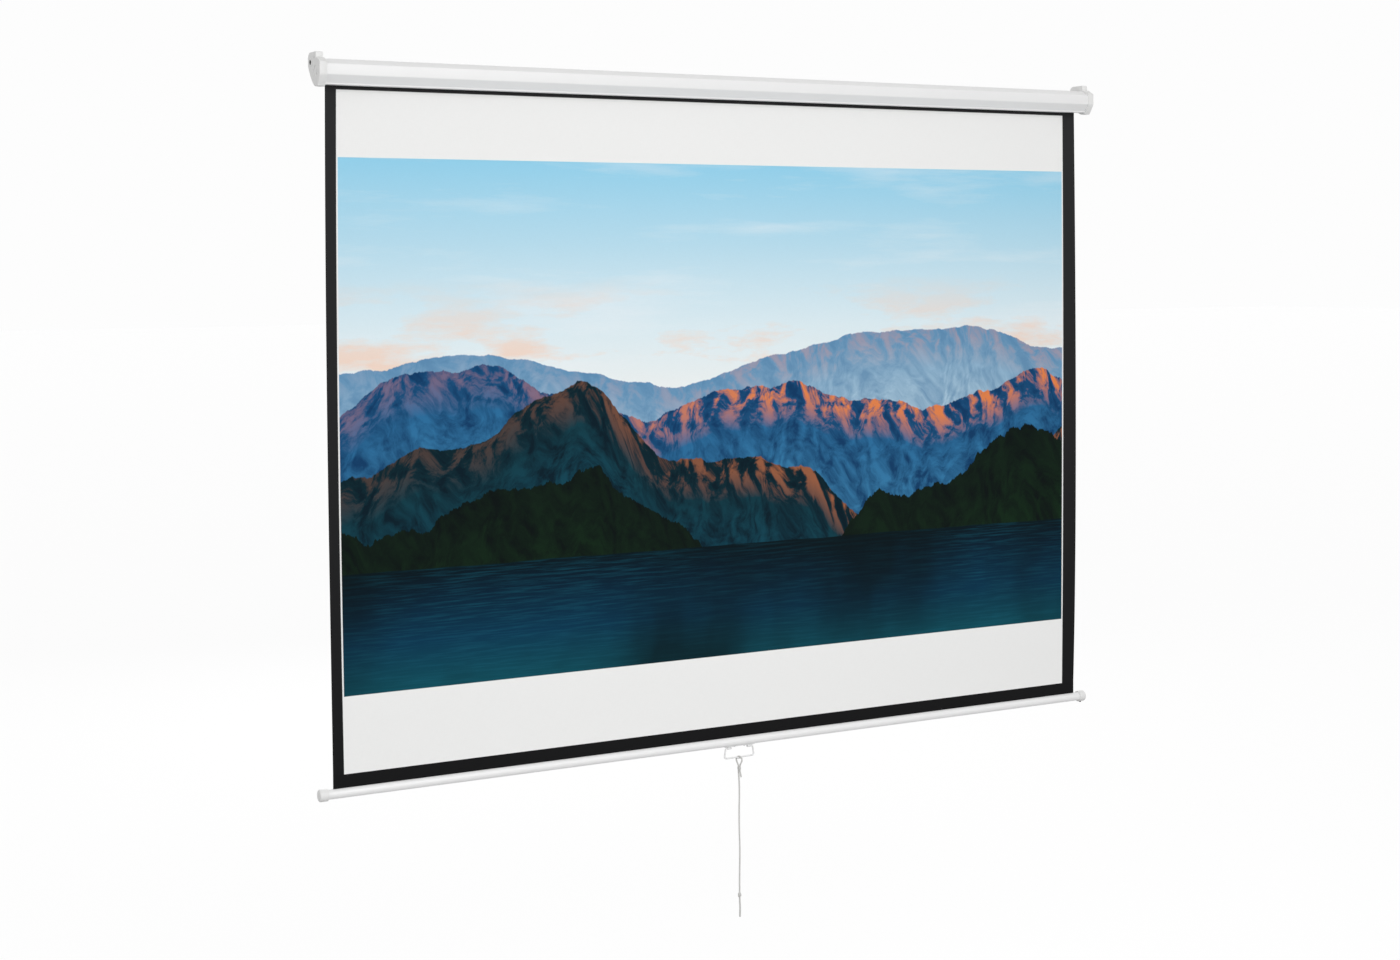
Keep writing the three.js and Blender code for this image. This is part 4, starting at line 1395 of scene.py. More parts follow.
    def build(self, finishes: Finishes) -> None:
        """Builds both caps and their screws.

        Args:
            finishes: The finishes.
        """
        for side, name in ((-1, "left"), (1, "right")):
            duty = Duty("casing", "cap_plastic", (f"end_cap_{name}",))
            # The caps' second material paints the hanging holes' walls dark, as painted shade.
            finished(f"cap_{name}", self.cap(side), duty, finishes["cap_plastic"], finishes["black_steel_and_hole_shade"])
            screw = self.ear_screw_form.placed((side * self.face, *self.ear_screw), (side, 0, 0))
            duty = Duty("casing", "bright_steel", (f"ear_screw_{name}",))
            finished(f"ear_cross_screw_{name}", screw, duty, finishes["plated_steel"])
            along, across = self.cap_screw
            head_top = (side * along, across, self.bottom + self.cap_screw_sunk)
            screw = self.cap_screw_form.placed(head_top, (0, 0, -1))
            duty = Duty("casing", "dark_steel", (f"cap_screw_{name}",))
            finished(f"cap_cross_screw_{name}", screw, duty, finishes["black_steel_and_hole_shade"])


@dataclass(frozen=True)
class ProjectionCloth:
    """The hanging cloth, its hem strip and the turns of it that stay on the roller."""

    half_width: float = 1046.0
    roller_height: float = -21.0
    white_bottom: float = -1582.0
    plane: float = HANGING_PLANE
    thickness: float = 0.4
    columns: int = 56
    rows: int = 96
    hem_rows: int = 4
    border: float = 30.0
    side_cuts: tuple[float, ...] = (-1.0, -0.5, 0.0, 0.25, 0.5, 0.75)
    bow: float = 5.5
    pull_right: float = 1.1
    set_back: float = 3.6
    curl: float = 2.8
    ripple: float = 0.5
    ripple_rate: float = 9.4
    hem_bottom: float = -1613.0
    hem_thickness: float = 0.8
    turns: float = 2.15
    turns_inner: float = 18.75
    turns_outer: float = 19.5
    turns_packing: float = 0.7
    turn_steps: int = 140
    axle: Pair = AXLE

    def slab(self, top: float, bottom: float, thickness: float, rows: int) -> Mesh:
        """Builds a flat strip of cloth across the whole width, with its places kept as a UV map.

        Args:
            top: The height of its top.
            bottom: The height of its bottom.
            thickness: How thick it is.
            rows: Its rows of faces.

        Returns:
            A closed slab, white in front and black behind.
        """
        bm = bmesh.new()
        turn = Matrix.Rotation(math.pi / 2, 4, "X")
        bmesh.ops.create_grid(bm, x_segments=self.columns, y_segments=rows, size=0.5, matrix=turn)
        bmesh.ops.scale(bm, vec=(2 * self.half_width, 1, top - bottom), verts=bm.verts)
        middle = (0, self.plane - thickness / 2, (top + bottom) / 2)
        bmesh.ops.translate(bm, verts=bm.verts, vec=middle)
        for side in (-1, 1):
            for share in self.side_cuts:
                place = side * (self.half_width - self.border * (1 - share))
                geometry = list(bm.verts) + list(bm.edges) + list(bm.faces)
                bmesh.ops.bisect_plane(
                    bm, geom=geometry, plane_co=(place, 0, 0), plane_no=(1, 0, 0), dist=MERGE
                )
        pull(bm, list(bm.faces), Vector((0, thickness, 0)))
        cloth = bm.loops.layers.uv.new("cloth")
        for face in bm.faces:
            face.material_index = 0 if face.normal.y < -0.5 else 1
            for loop in face.loops:
                loop[cloth].uv = (loop.vert.co.x * MM, loop.vert.co.z * MM)
        return bm

    def hang(self, bm: Mesh) -> None:
        """Lets the cloth hang: bowed out and set back half way down, its edges forward, with faint ripples.

        Args:
            bm: The flat cloth, which is changed.
        """
        belly_scale, low_belly_scale = 4, 9.48  # Each makes its curve's highest value 1.
        edge_zone = 2 * self.border
        for vert in bm.verts:
            down = (self.roller_height - vert.co.z) / (self.roller_height - self.white_bottom)
            belly = belly_scale * down * (1 - down)
            low_belly = low_belly_scale * down**3 * (1 - down)
            side = vert.co.x / self.half_width
            edge = max(0.0, (abs(vert.co.x) - self.half_width + edge_zone) / edge_zone)
            vert.co.x += belly * (self.bow * side + self.pull_right * side**2)
            vert.co.y += self.set_back * belly * (1 - edge**2) - self.curl * low_belly * edge**2
            vert.co.y += self.ripple * belly * math.sin(side * self.ripple_rate) * (1 - edge)

    def spiral(self) -> Mesh:
        """Winds a strip of cloth round the roller, turn on turn.

        Returns:
            A closed mesh with its places kept as a UV map.
        """
        bm = bmesh.new()
        ends = [bm.verts.new((side * self.half_width, 0.0, self.turns_inner)) for side in (-1, 1)]
        edge = bm.edges.new(ends)
        growth = (self.turns_outer / self.turns_inner) ** (1 / self.turn_steps)
        turn = Matrix.Rotation(math.radians(360 * self.turns / self.turn_steps), 3, "X")
        for _ in range(self.turn_steps):
            grown = bmesh.ops.extrude_edge_only(bm, edges=[edge])["geom"]
            verts = [part for part in grown if isinstance(part, bmesh.types.BMVert)]
            bmesh.ops.rotate(bm, verts=verts, cent=(0, 0, 0), matrix=turn)
            bmesh.ops.scale(bm, verts=verts, vec=(1, growth, growth))
            edge = bm.edges.get(verts)
        bmesh.ops.translate(bm, verts=bm.verts, vec=(0.0, *self.axle))
        bmesh.ops.recalc_face_normals(bm, faces=bm.faces)
        bmesh.ops.solidify(bm, geom=list(bm.faces), thickness=self.thickness * self.turns_packing)
        bmesh.ops.recalc_face_normals(bm, faces=bm.faces)
        cloth = bm.loops.layers.uv.new("cloth")
        for face in bm.faces:
            for loop in face.loops:
                place = loop.vert.co
                round_place = math.atan2(place.z - self.axle[1], place.y - self.axle[0]) * self.turns_outer
                loop[cloth].uv = (place.x * MM, round_place * MM)
        return bm

    def build(self, finishes: Finishes) -> None:
        """Builds the cloth's three pieces and lets the cloth hang.

        Args:
            finishes: The finishes.
        """
        bm = self.slab(self.roller_height, self.white_bottom, self.thickness, self.rows)
        self.hang(bm)
        duty = Duty("casing", "sheet_white", ("projection_sheet",))
        cloth = finished("screen_cloth", bm, duty, finishes.face, finishes.black)
        hem = self.slab(self.white_bottom, self.hem_bottom, self.hem_thickness, self.hem_rows)
        duty = Duty("bottom_bar", "sheet_black", ("bottom_hem",))
        strip = finished("hem_strip", hem, duty, finishes.black)
        duty = Duty("roller", "sheet_black", ("sheet_turns",))
        wound = finished("cloth_turns", self.spiral(), duty, finishes.black)
        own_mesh(cloth)


@dataclass(frozen=True)
class BottomBar:
    """The round bar in the hem, with its caps, its screw and the clip for the handle."""

    plane: float = HANGING_PLANE
    height: float = -1623.0
    radius: float = 11.0
    wall: float = 1.0
    slot: float = 2.4
    half_length: float = 1076.7
    cap_radius: float = 14.0
    cap_mouth: float = 1060.0
    cap_floor: float = 1077.0
    cap_end: float = 1080.0
    cap_rounding: float = 4.0
    cap_mouth_rounding: float = 0.5
    screw: Screw = Screw(head_radius=3.0, head_height=2.4, shank_radius=1.5, length=8.4)
    screw_along: float = 1069.0
    screw_stands: float = 2.7
    bore: float = 1.8
    bore_reach: float = 2.0
    ring_steps: int = 72
    clip_inner: float = 11.3
    clip_outer: float = 12.5
    clip_half: float = 41.0
    clip_angle: float = 35.0
    clip_steps: int = 14
    clip_rounding: float = 0.35
    clip_bore_reach: Pair = (1.5, 1.3)
    knuckle_start: float = 22.5
    knuckle_end: float = 33.5
    knuckle_radius: float = 3.4
    knuckle_bore: float = 2.3
    knuckle_rounding: float = 0.3
    pivot: float = -15.1
    rivet_along: float = 14.0
    rivet_profile: tuple[Pair, ...] = (
        (-13.9, 0.0), (-13.65, 1.6), (-12.8, 3.0), (-12.8, 1.5), (-9.0, 1.5), (-9.0, 0.0),
    )
    rivet_rounding: float = 0.12

    def ring_part(
        self, inner: float, outer: float, start: float, sweep: float, half: float, steps: int
    ) -> Mesh:
        """Builds part of a tube along X, about the bar's own axis.

        Args:
            inner: The inner radius.
            outer: The outer radius.
            start: The angle at which it starts, in degrees from Y towards Z.
            sweep: The angle that it covers.
            half: Half its length.
            steps: The steps round.

        Returns:
            A closed mesh.
        """
        bm = bmesh.new()
        turn = Matrix.Rotation(math.radians(start), 3, "X")
        verts = [bm.verts.new(turn @ Vector((-half, radius, 0))) for radius in (inner, outer)]
        edge = bm.edges.new(verts)
        bmesh.ops.spin(
            bm, geom=[*verts, edge], cent=(0, 0, 0), axis=(1, 0, 0), angle=math.radians(sweep), steps=steps
        )
        bmesh.ops.remove_doubles(bm, verts=bm.verts, dist=MERGE)
        pull(bm, list(bm.faces), Vector((2 * half, 0, 0)))
        return bm

    def settle(self, bm: Mesh) -> Mesh:
        """Moves a mesh from the bar's own axis to the bar's place."""
        bmesh.ops.translate(bm, verts=bm.verts, vec=(0, self.plane, self.height))
        return bm

    def tube(self) -> Mesh:
        """Builds the slotted tube with the holes for its screw and rivets.

        Returns:
            The tube about the bar's own axis.
        """
        open_angle = math.degrees(math.asin(self.slot / 2 / self.radius))
        inner = self.radius - self.wall
        start, sweep = UPWARDS + open_angle, 360 - 2 * open_angle
        bm = self.ring_part(inner, self.radius, start, sweep, self.half_length, self.ring_steps)
        for along in (self.screw_along, -self.rivet_along, self.rivet_along):
            low, high = -self.radius - self.bore_reach, -self.radius + self.bore_reach
            hole = post(low, high, self.bore, (along, 0.0))
            bm = combined(bm, hole, Boolean.CUT)
        return bm

    def cap(self, side: int) -> Mesh:
        """Builds one of the bar's caps, with the screw's hole in the right one.

        Args:
            side: 1 for the right, -1 for the left.

        Returns:
            The cap about the bar's own axis.
        """
        bm = revolved([
            (self.cap_floor, 0.0), (self.cap_floor, self.clip_inner), (self.cap_mouth, self.clip_inner),
            (self.cap_mouth, self.cap_radius), (self.cap_end, self.cap_radius), (self.cap_end, 0.0),
        ])
        soften(bm, self.cap_mouth_rounding, 3, lies_at(self.cap_mouth))
        soften(bm, self.cap_rounding, 7, lies_at(self.cap_end))
        if side < 0:
            return mirrored(bm)
        hole = post(-self.cap_radius - OVERRUN, -self.radius, self.bore, (self.screw_along, 0.0))
        return combined(bm, hole, Boolean.CUT)

    def clip(self) -> Mesh:
        """Builds the clip: a saddle under the bar with two knuckles for the wire.

        Returns:
            The clip about the bar's own axis.
        """
        start, sweep = -UPWARDS - self.clip_angle, 2 * self.clip_angle
        bm = self.ring_part(
            self.clip_inner, self.clip_outer, start, sweep, self.clip_half, self.clip_steps
        )
        soften(bm, self.clip_rounding, 2, angle=50)
        below, above = self.clip_bore_reach
        for side in (-1, 1):
            knuckle = revolved([
                (self.knuckle_start, self.knuckle_bore), (self.knuckle_start, self.knuckle_radius),
                (self.knuckle_end, self.knuckle_radius), (self.knuckle_end, self.knuckle_bore),
            ], SMALL_SIDES, closed=True)
            soften(knuckle, self.knuckle_rounding, 2)
            bmesh.ops.translate(knuckle, verts=knuckle.verts, vec=(0, 0, self.pivot))
            bm = combined(bm, knuckle if side > 0 else mirrored(knuckle), Boolean.JOIN)
            start, end = self.knuckle_start - OVERRUN, self.knuckle_end + OVERRUN
            bore = drum(start, end, self.knuckle_bore, (0.0, self.pivot), SMALL_SIDES)
            bm = combined(bm, bore if side > 0 else mirrored(bore), Boolean.CUT)
            place = (side * self.rivet_along, 0.0)
            hole = post(-self.clip_outer - below, -self.clip_inner + above, self.bore, place)
            bm = combined(bm, hole, Boolean.CUT)
        return bm

    def rivet(self, side: int) -> Mesh:
        """Builds a domed rivet that points up through the clip and the bar.

        Args:
            side: 1 for the right, -1 for the left.

        Returns:
            The rivet about the bar's own axis.
        """
        bm = revolved(self.rivet_profile, SMALL_SIDES)
        soften(bm, self.rivet_rounding, 2, angle=20)
        bmesh.ops.rotate(bm, verts=bm.verts, cent=(0, 0, 0), matrix=Matrix.Rotation(-math.pi / 2, 3, "Y"))
        bmesh.ops.translate(bm, verts=bm.verts, vec=(side * self.rivet_along, 0, 0))
        return bm

    def build(self, finishes: Finishes) -> None:
        """Builds the bar with all that is fixed to it.

        Args:
            finishes: The finishes.
        """
        body = "bottom_bar"
        duty = Duty(body, "bar_paint", ("bar_tube",))
        finished("round_bar", self.settle(self.tube()), duty, finishes["bar_coat"])
        for side, name in ((-1, "left"), (1, "right")):
            duty = Duty(body, "bar_cap_plastic", (f"bar_cap_{name}",))
            finished(f"bar_end_{name}", self.settle(self.cap(side)), duty, finishes["bar_cap_plastic"])
            duty = Duty(body, "bright_steel", (f"clip_rivet_{name}",))
            finished(f"rivet_{name}", self.settle(self.rivet(side)), duty, finishes["plated_steel"])
        head_top = (self.screw_along, 0, -self.cap_radius - self.screw_stands)
        screw = self.screw.placed(head_top, (0, 0, -1))
        duty = Duty(body, "dark_steel", ("bar_cap_screw",))
        finished("bar_cross_screw", self.settle(screw), duty, finishes["black_steel_and_hole_shade"])
        duty = Duty(body, "bar_paint", ("handle_clip",))
        finished("wire_clip", self.settle(self.clip()), duty, finishes["bar_coat"])


@dataclass(frozen=True)
class WireHandle:
    """The wire handle that swings in the clip's knuckles."""

    plane: float = HANGING_PLANE
    pivot: float = -1638.1
    radius: float = 2.0
    end_rounding: float = 0.4
    half: tuple[Triple, ...] = (
        (22.8, 0.0, 0.0), (38.0, 0.0, 4.5), (42.0, -25.0, 5.0), (7.0, -25.0, 5.0), (2.0, -28.0, 5.0),
    )

    def build(self, finishes: Finishes) -> None:
        """Builds the handle from its bent wire.

        Args:
            finishes: The finishes.
        """
        other = [(-across, up, bend) for across, up, bend in reversed(self.half)]
        bm = swept(wire_path([*self.half, *other]), self.radius)
        soften(bm, self.end_rounding, 2, angle=60)
        bmesh.ops.translate(bm, verts=bm.verts, vec=(0, self.plane, self.pivot))
        finished("wire_handle", bm, Duty("handle", "handle_paint", ("pull_handle",)), finishes["wire_coat"])


def smooth_route(points: Sequence[Vector], step: float) -> list[Vector]:
    """Draws a smooth curve through points and walks along it in even steps.

    Args:
        points: The points.
        step: The length of a step.

    Returns:
        The points of the walk.
    """
    fine: list[Vector] = []
    padded = [2 * points[0] - points[1], *points, 2 * points[-1] - points[-2]]
    parts = 24
    for index in range(1, len(padded) - 2):
        before, start, end, after = padded[index - 1:index + 3]
        for part in range(parts):
            share = part / parts
            fine.append(0.5 * (
                2 * start + (end - before) * share + (2 * before - 5 * start + 4 * end - after) * share**2
                + (3 * start - before - 3 * end + after) * share**3
            ))
    fine.append(points[-1].copy())
    walk, carried = [fine[0]], 0.0
    for start, end in zip(fine, fine[1:]):
        length = (end - start).length
        while carried + length >= step:
            start = start.lerp(end, (step - carried) / length)
            length = (end - start).length
            walk.append(start.copy())
            carried = 0.0
        carried += length
    return walk


@dataclass(frozen=True)
class Braid:
    """A braided cord: strands that cross over and under each other round a core.

    The lift is how far a strand rises and dips where it crosses, the pitch is the length of one turn, and
    as many carriers go one way round as the other.
    """

    radius: float = 2.15
    strand: float = 0.64
    lift: float = 0.26
    pitch: float = 9.5
    carriers: int = 4
    step: float = 0.3
    core_room: float = 0.1

    def lines(self, walk: Sequence[Vector], swell: Swell) -> list[list[tuple[Vector, float]]]:
        """Works out the lines of the strands and the core.

        Args:
            walk: The cord's centreline in even steps.
            swell: How much thicker the cord is at a length along it.

        Returns:
            For each strand, its points and how thick it is there.
        """
        along = [(after - before).normalized() for before, after in zip(walk, walk[1:])]
        along.append(along[-1])
        side = along[0].orthogonal().normalized()
        frames = []
        for before, now in zip([along[0], *along], along):
            side = (before.rotation_difference(now).to_matrix() @ side).normalized()
            frames.append((side, now.cross(side).normalized()))
        middle = self.radius - self.strand - self.lift
        made = []
        for way in (-1, 1):
            for carrier in range(self.carriers):
                line = []
                for index, (centre, (one, two)) in enumerate(zip(walk, frames)):
                    length = index * self.step
                    size = swell(length)
                    turn = 2 * math.pi * (way * length / self.pitch + carrier / self.carriers)
                    crossing = math.cos(2 * math.pi * self.carriers * length / self.pitch)
                    reach = (middle + way * self.lift * crossing) * size
                    line.append((centre + (one * math.cos(turn) + two * math.sin(turn)) * reach, size))
                made.append(line)
        core = (middle + self.core_room) / self.strand
        made.append([(centre, core * swell(index * self.step)) for index, centre in enumerate(walk)])
        return made

    def tube(self, walk: Sequence[Vector], swell: Swell = lambda length: 1.0) -> Mesh:
        """Builds the braid round a centreline.

        Args:
            walk: The centreline in even steps.
            swell: How much thicker the cord is at a length along it.

        Returns:
            Closed tubes, one for each strand and one for the core.
        """
        curve = bpy.data.curves.new("braid", "CURVE")
        curve.dimensions = "3D"
        curve.bevel_depth = self.strand
        curve.bevel_resolution = 1
        curve.use_fill_caps = True
        for line in self.lines(walk, swell):
            spline = curve.splines.new("POLY")
            spline.points.add(len(line) - 1)
            spline.points.foreach_set("co", [part for place, _ in line for part in (*place, 1.0)])
            spline.points.foreach_set("radius", [size for _, size in line])
        holder = bpy.data.objects.new("braid", curve)
        mesh = bpy.data.meshes.new_from_object(holder)
        bm = bmesh.new()
        bm.from_mesh(mesh)
        bmesh.ops.remove_doubles(bm, verts=bm.verts, dist=MERGE)
        bmesh.ops.recalc_face_normals(bm, faces=bm.faces)
        bpy.data.objects.remove(holder)
        bpy.data.curves.remove(curve)
        bpy.data.meshes.remove(mesh)
        return bm


@dataclass(frozen=True)
class PullCord:
    """The pull cord, listed from the middle of the handle's dip: along its loop's direction, and up."""

    origin: Triple = (0.0, HANGING_PLANE, -1666.1)
    turn: float = -60.0
    loop: tuple[Pair, ...] = (
        (-2.2, -26.0), (-2.3, -20.0), (-2.4, -18.4), (-4.2, -14.0), (-6.6, -9.4), (-7.9, -5.4),
        (-7.75, -1.7), (-6.1, 1.5), (-3.2, 3.65), (0.0, 4.3), (3.2, 3.65), (6.1, 1.5), (7.75, -1.7),
        (7.9, -5.4), (6.6, -9.4), (4.2, -14.0), (2.4, -18.4), (2.3, -20.0), (2.3, -26.0),
    )
    main: tuple[Pair, ...] = (
        (-2.2, -26.2), (-2.2, -31), (-1.8, -38), (-1, -48), (-0.3, -60), (0.2, -75), (0.2, -92),
        (-0.2, -110), (-0.6, -130), (-0.7, -150), (-0.5, -170), (-0.1, -190), (0.4, -210), (0.6, -230),
        (0.5, -250), (0.1, -270), (-0.3, -290), (-0.5, -310), (-0.4, -326), (-0.4, -341), (-0.4, -351),
        (0.2, -362), (0.7, -374), (0.4, -386), (0.2, -395.4),
    )
    tail: tuple[Pair, ...] = ((2.3, -26.2), (2.3, -31), (3.2, -36), (4.6, -42), (5, -47.5))
    tie_top: float = -20.6
    tie_bottom: float = -28.2
    tie_half: Pair = (4.2, 2.3)
    tie_turns: int = 5
    knot_top: float = -336.2
    knot_bottom: float = -345.8
    knot_half: float = 2.7
    knot_turns: int = 3
    knot_along: float = -0.4
    turn_steps: int = 16
    end_start: float = 321.0
    end_swell: float = 0.15
    tail_start: float = 10.0
    tail_swell: float = 0.1
    braid: Braid = Braid()
    thread: Braid = Braid(radius=0.95, strand=0.3, lift=0.14, pitch=4.6, step=0.2)
    knot_cord: Braid = Braid(radius=1.85, strand=0.55, lift=0.26, pitch=8.0, step=0.3)

    def place(self, along: float, up: float, beside: float = 0.0) -> Vector:
        """Turns a place in the cord's own directions into one in the frame.

        Args:
            along: How far along its loop's direction.
            up: How far up from the handle's dip.
            beside: How far square to the loop.

        Returns:
            The place.
        """
        turn = math.radians(self.turn)
        one = Vector((math.cos(turn), math.sin(turn), 0))
        two = Vector((-math.sin(turn), math.cos(turn), 0))
        return Vector(self.origin) + (one * along + two * beside) + Vector((0, 0, up))

    def route(self, points: Sequence[Pair]) -> list[Vector]:
        """Returns the even walk along listed points."""
        return smooth_route([self.place(along, up) for along, up in points], self.braid.step)

    def tip(self, total: float, from_length: float, thicker: float) -> Swell:
        """Makes the rule for how thick a strand is along it.

        Args:
            total: The strand's length.
            from_length: Where it starts to loosen.
            thicker: How much thicker the loose part is, as a share.

        Returns:
            The rule, which gives the thickness at a length and rounds the strand off at its end.
        """
        loosening, rounding, tip_size = 6, 1.6, 0.25

        def swell(length: float) -> float:
            """Works out the thickness at a length.

            Args:
                length: How far along the strand.

            Returns:
                The thickness, as a share of the plain one.
            """
            loose = 1 + thicker * min(1.0, max(0.0, (length - from_length) / loosening))
            left = max(0.0, total - length)
            return loose * (tip_size + (1 - tip_size) * math.sqrt(min(1.0, left / rounding)))

        return swell

    def wraps(self, half: Pair, top: float, bottom: float, turns: int, at: float) -> list[Vector]:
        """Winds a cord round an upright core, with its first and last turns drawn in.

        Args:
            half: Half the windings' width along the loop, and half their depth.
            top: Where they start.
            bottom: Where they end.
            turns: How many there are.
            at: The core's place along the loop's direction.

        Returns:
            The centreline in even steps.
        """
        steps = self.turn_steps * turns
        end_reach, end_rate = 0.25, 6
        points = []
        for step in range(steps + 1):
            share = step / steps
            angle = 2 * math.pi * turns * share
            reach = min(1.0, end_rate * share + end_reach, end_rate * (1 - share) + end_reach)
            along = at + half[0] * reach * math.cos(angle)
            beside = half[1] * reach * math.sin(angle)
            points.append(self.place(along, top + (bottom - top) * share, beside))
        return smooth_route(points, self.braid.step)

    def build(self, finishes: Finishes) -> None:
        """Builds the cord: its loop on the handle, the tie, the long strand, its tail and the knot.

        Args:
            finishes: The finishes.
        """
        slot, body = "cord_white", "cord"
        walk = self.route(self.main)
        swell = self.tip(len(walk) * self.braid.step, self.end_start, self.end_swell)
        duty = Duty(body, slot, ("pull_cord", "cord_end"))
        cord = finished("cord_strand", self.braid.tube(walk, swell), duty, finishes.cord)
        eye = self.braid.tube(self.route(self.loop))
        loop = finished("cord_eye", eye, Duty(body, slot, ("cord_loop",)), finishes.cord)
        tail_walk = self.route(self.tail)
        swell = self.tip(len(tail_walk) * self.braid.step, self.tail_start, self.tail_swell)
        tail = self.braid.tube(tail_walk, swell)
        short = finished("cord_short_end", tail, Duty(body, slot, ("cord_tail",)), finishes.cord)
        wound = self.wraps(self.tie_half, self.tie_top, self.tie_bottom, self.tie_turns, 0.0)
        duty = Duty(body, slot, ("cord_tie",))
        tie = finished("cord_whipping", self.thread.tube(wound), duty, finishes.cord)
        half = (self.knot_half, self.knot_half)
        turned = self.wraps(half, self.knot_top, self.knot_bottom, self.knot_turns, self.knot_along)
        duty = Duty(body, slot, ("cord_knot",))
        knot = finished("cord_stop_knot", self.knot_cord.tube(turned), duty, finishes.cord)


@dataclass(frozen=True)
class RollerInside:
    """The roller's own parts: the fine spring coil is made here, and the CAD parts get their finishes."""

    axle: Pair = AXLE
    coil_radius: float = 9.0
    wire: float = 0.9
    wire_sides: int = 8
    turns: int = 26
    turn_steps: int = 24

    def build(self, finishes: Finishes) -> None:
        """Winds the spring and dresses the CAD parts that stay.

        Args:
            finishes: The finishes.
        """
        low, high = (corner.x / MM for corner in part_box("torsion_spring"))
        start, end = low + self.wire, high - self.wire
        steps = self.turn_steps * self.turns
        route = []
        for step in range(steps + 1):
            angle = 2 * math.pi * self.turns * step / steps
            along = start + (end - start) * step / steps
            across = self.axle[0] + self.coil_radius * math.cos(angle)
            route.append(Vector((along, across, self.axle[1] + self.coil_radius * math.sin(angle))))
        duty = Duty("casing", "spring_steel", ("torsion_spring",))
        coil = swept(route, self.wire, self.wire_sides)
        finished("spring_coil", coil, duty, finishes["oiled_spring_steel"])
        looks = {
            "drawn_aluminium": ("roller_tube",),
            "grey_plastic": (
                "idle_plug", "idle_bush", "spring_plug", "spring_bearing", "spring_turning_anchor",
                "spring_fixed_anchor", "ratchet_cup", "catch_hub", "hem_rod",
            ),
            "plated_steel": ("idle_pin", "spindle", "pawl_pin", "catch_pawl"),
        }
        for finish, nodes in looks.items():
            for node in nodes:
                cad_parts[node].data.materials.clear()
                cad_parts[node].data.materials.append(finishes[finish])
            LOG.info("%s on %d parts inside", finish, len(nodes))


# Stage


@dataclass(frozen=True)
class Viewpoint:
    """The photograph's camera, worked out from the screen's corners in it.

    Its place is in metres, its turns are in radians, and the rest is in pixels of the photograph, apart
    from the sensor, which is in millimetres.
    """

    position: Triple = (-2.62837, -4.54937, -0.44557)
    yaw: float = 0.50939
    pitch: float = -0.03601
    roll: float = 0.00556
    focal_pixels: float = 2135.84
    horizon_row: float = 340.0
    wide: int = 1400
    high: int = 960
    sensor: float = 36.0

    def build(self) -> None:
        """Places the camera."""
        data = bpy.data.cameras.new("photo_view")
        data.sensor_width = self.sensor
        data.lens = self.focal_pixels / self.wide * self.sensor
        data.shift_y = -(self.high / 2 - self.horizon_row) / self.wide
        camera = bpy.data.objects.new("photo_view", data)
        level = Vector((math.cos(self.yaw), -math.sin(self.yaw), 0))
        ahead = Vector((math.sin(self.yaw), math.cos(self.yaw), 0))
        forward = math.cos(self.pitch) * ahead + math.sin(self.pitch) * Vector((0, 0, 1))
        upright = math.cos(self.pitch) * Vector((0, 0, 1)) - math.sin(self.pitch) * ahead
        right = math.cos(self.roll) * level - math.sin(self.roll) * upright
        up = math.sin(self.roll) * level + math.cos(self.roll) * upright
        turn = Matrix((right, up, -forward)).transposed().to_4x4()
        camera.matrix_world = Matrix.Translation(self.position) @ turn
        bpy.context.scene.collection.objects.link(camera)
        bpy.context.scene.camera = camera


@dataclass(frozen=True)
class Lamp:
    """A soft square lamp that looks at the screen, with its places and size in metres."""

    name: str
    place: Triple
    aim: Triple
    size: float
    power: float

    def build(self) -> None:
        """Places the lamp."""
        data = bpy.data.lights.new(self.name, "AREA")
        data.size = self.size
        data.energy = self.power
        lamp = bpy.data.objects.new(self.name, data)
        lamp.location = self.place
        lamp.rotation_mode = "QUATERNION"
        lamp.rotation_quaternion = (Vector(self.aim) - Vector(self.place)).to_track_quat("-Z", "Y")
        bpy.context.scene.collection.objects.link(lamp)


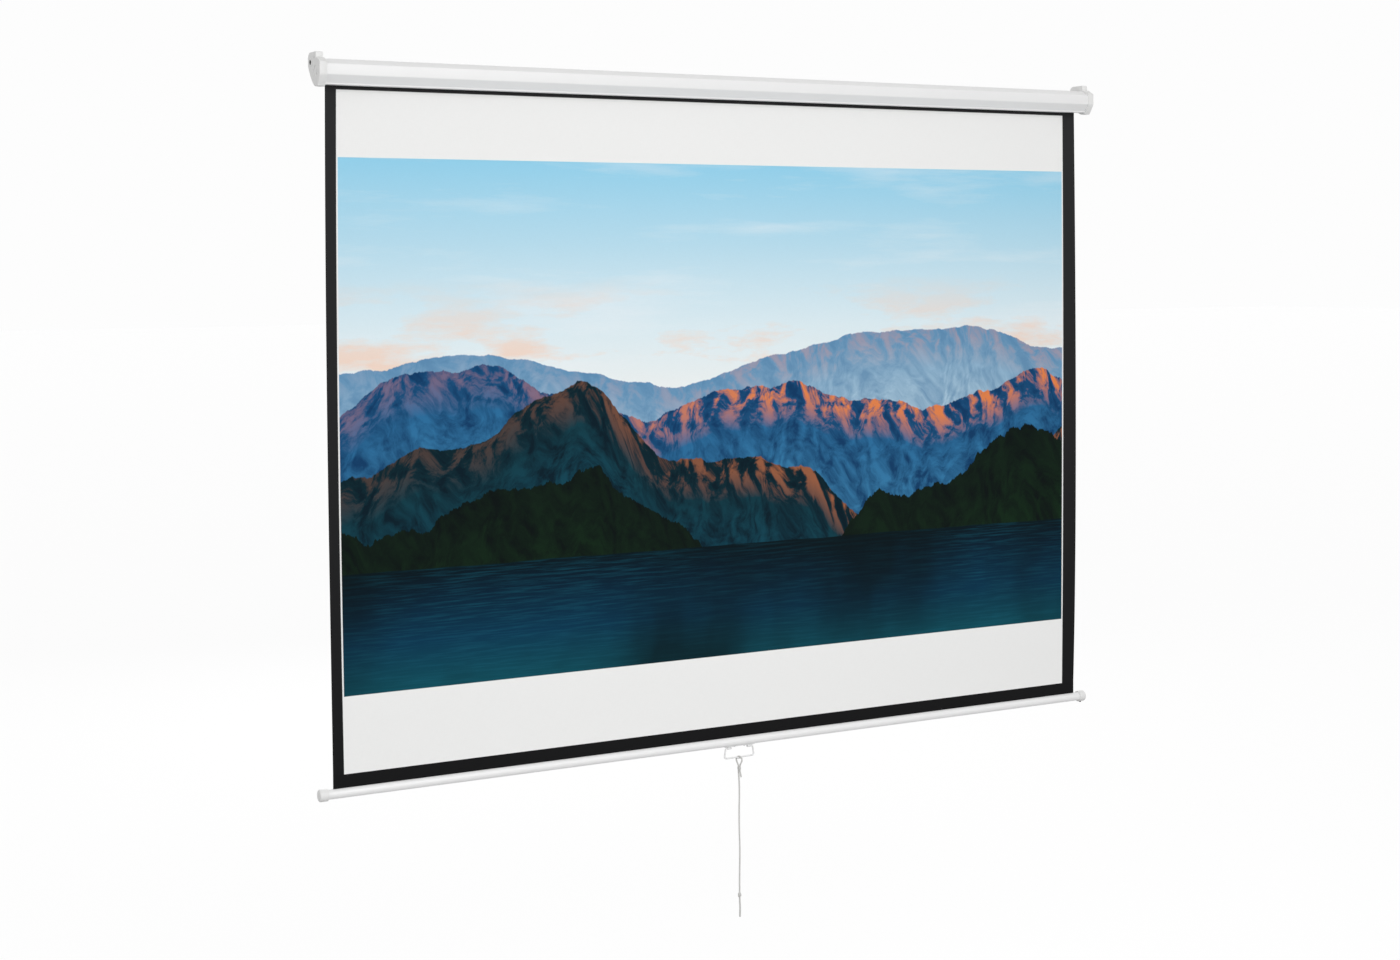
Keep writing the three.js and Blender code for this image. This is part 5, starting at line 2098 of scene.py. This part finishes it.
@dataclass(frozen=True)
class Studio:
    """A pale studio: its floor, its white surround and its lamps."""

    floor_height: float = -2.32
    floor_size: float = 60.0
    floor_glow: float = 0.895
    floor_colour: Colour = tone(184, 184, 184)
    floor_patches: Colour = tone(178, 178, 178)
    patch_rate: float = 0.7
    floor_roughness: float = 0.9
    floor_gloss: float = 0.1
    seen_colour: Colour = tone(97, 97, 97)
    white: Colour = tone(253, 253, 253)
    ambient: float = 0.6
    lamps: tuple[Lamp, ...] = (
        Lamp("key_lamp", place=(0.2, -4.6, 1.0), aim=(0.0, 0.0, -0.7), size=2.5, power=82.0),
        Lamp("side_lamp", place=(-4.5, -1.2, 0.2), aim=(-1.0, 0.0, -0.5), size=2.0, power=28.0),
        Lamp("low_lamp", place=(-0.5, -3.8, -1.5), aim=(0.0, 0.0, -1.2), size=1.6, power=21.0),
        Lamp("back_lamp", place=(1.2, 4.6, 0.8), aim=(0.0, 0.0, -0.7), size=2.5, power=60.0),
    )

    def seen(self, graph: Graph) -> Socket:
        """Masks the rays that show the surround: from the camera, in a gloss or through glass.

        Args:
            graph: The nodes to add to.

        Returns:
            1 for those rays and 0 for the others.
        """
        path = graph.node("ShaderNodeLightPath", {}).outputs
        glossy = graph.math("MAXIMUM", path["Is Camera Ray"], path["Is Glossy Ray"])
        return graph.math("MAXIMUM", glossy, path["Is Transmission Ray"])

    def build(self) -> None:
        """Builds the floor, the surround and the lamps."""
        world = bpy.data.worlds.new("surround")
        bpy.context.scene.world = world
        world.use_nodes = True
        graph = Graph(world.node_tree)
        back = world.node_tree.nodes["Background"]
        level = graph.spread(self.seen(graph), 0.0, 1.0, self.ambient, 1.0)
        graph.feed(back.inputs["Color"], self.white)
        graph.feed(back.inputs["Strength"], level)
        material, graph, shader = blank_material("floor")
        cloudy = graph.noise(graph.node("ShaderNodeTexCoord", {}).outputs["Object"], self.patch_rate)
        shade = graph.mix(cloudy, self.floor_colour, self.floor_patches)
        seen = self.seen(graph)
        graph.feed(shader.inputs["Base Color"], graph.mix(seen, shade, self.seen_colour))
        shader.inputs["Roughness"].default_value = self.floor_roughness
        shader.inputs["Specular IOR Level"].default_value = self.floor_gloss
        graph.feed(shader.inputs["Emission Color"], self.white)
        graph.feed(shader.inputs["Emission Strength"], graph.math("MULTIPLY", seen, self.floor_glow))
        bm = bmesh.new()
        bmesh.ops.create_grid(bm, x_segments=4, y_segments=4, size=self.floor_size)
        bmesh.ops.translate(bm, verts=bm.verts, vec=(0, 0, self.floor_height))
        mesh = bpy.data.meshes.new("floor")
        bm.to_mesh(mesh)
        bm.free()
        mesh.materials.append(material)
        floor = bpy.data.objects.new("floor", mesh)
        bpy.context.scene.collection.objects.link(floor)
        for lamp in self.lamps:
            lamp.build()
        bpy.context.scene.view_settings.view_transform = "Standard"


def write_sizes() -> None:
    """Updates the view layer."""
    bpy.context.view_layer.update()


def main() -> None:
    """Builds the camera, the cord and every other sub-assembly in order."""
    logging.basicConfig(level=logging.INFO, format="%(name)s: %(message)s")
    Viewpoint().build()
    finishes = Finishes()
    hanging = (ProjectionCloth(), BottomBar(), WireHandle())
    for part in (PullCord(), Casing(), EndCaps(), *hanging, RollerInside()):
        LOG.info("building %s", type(part).__name__)
        part.build(finishes)
    Studio().build()
    write_sizes()


if __name__ == "__main__":
    main()
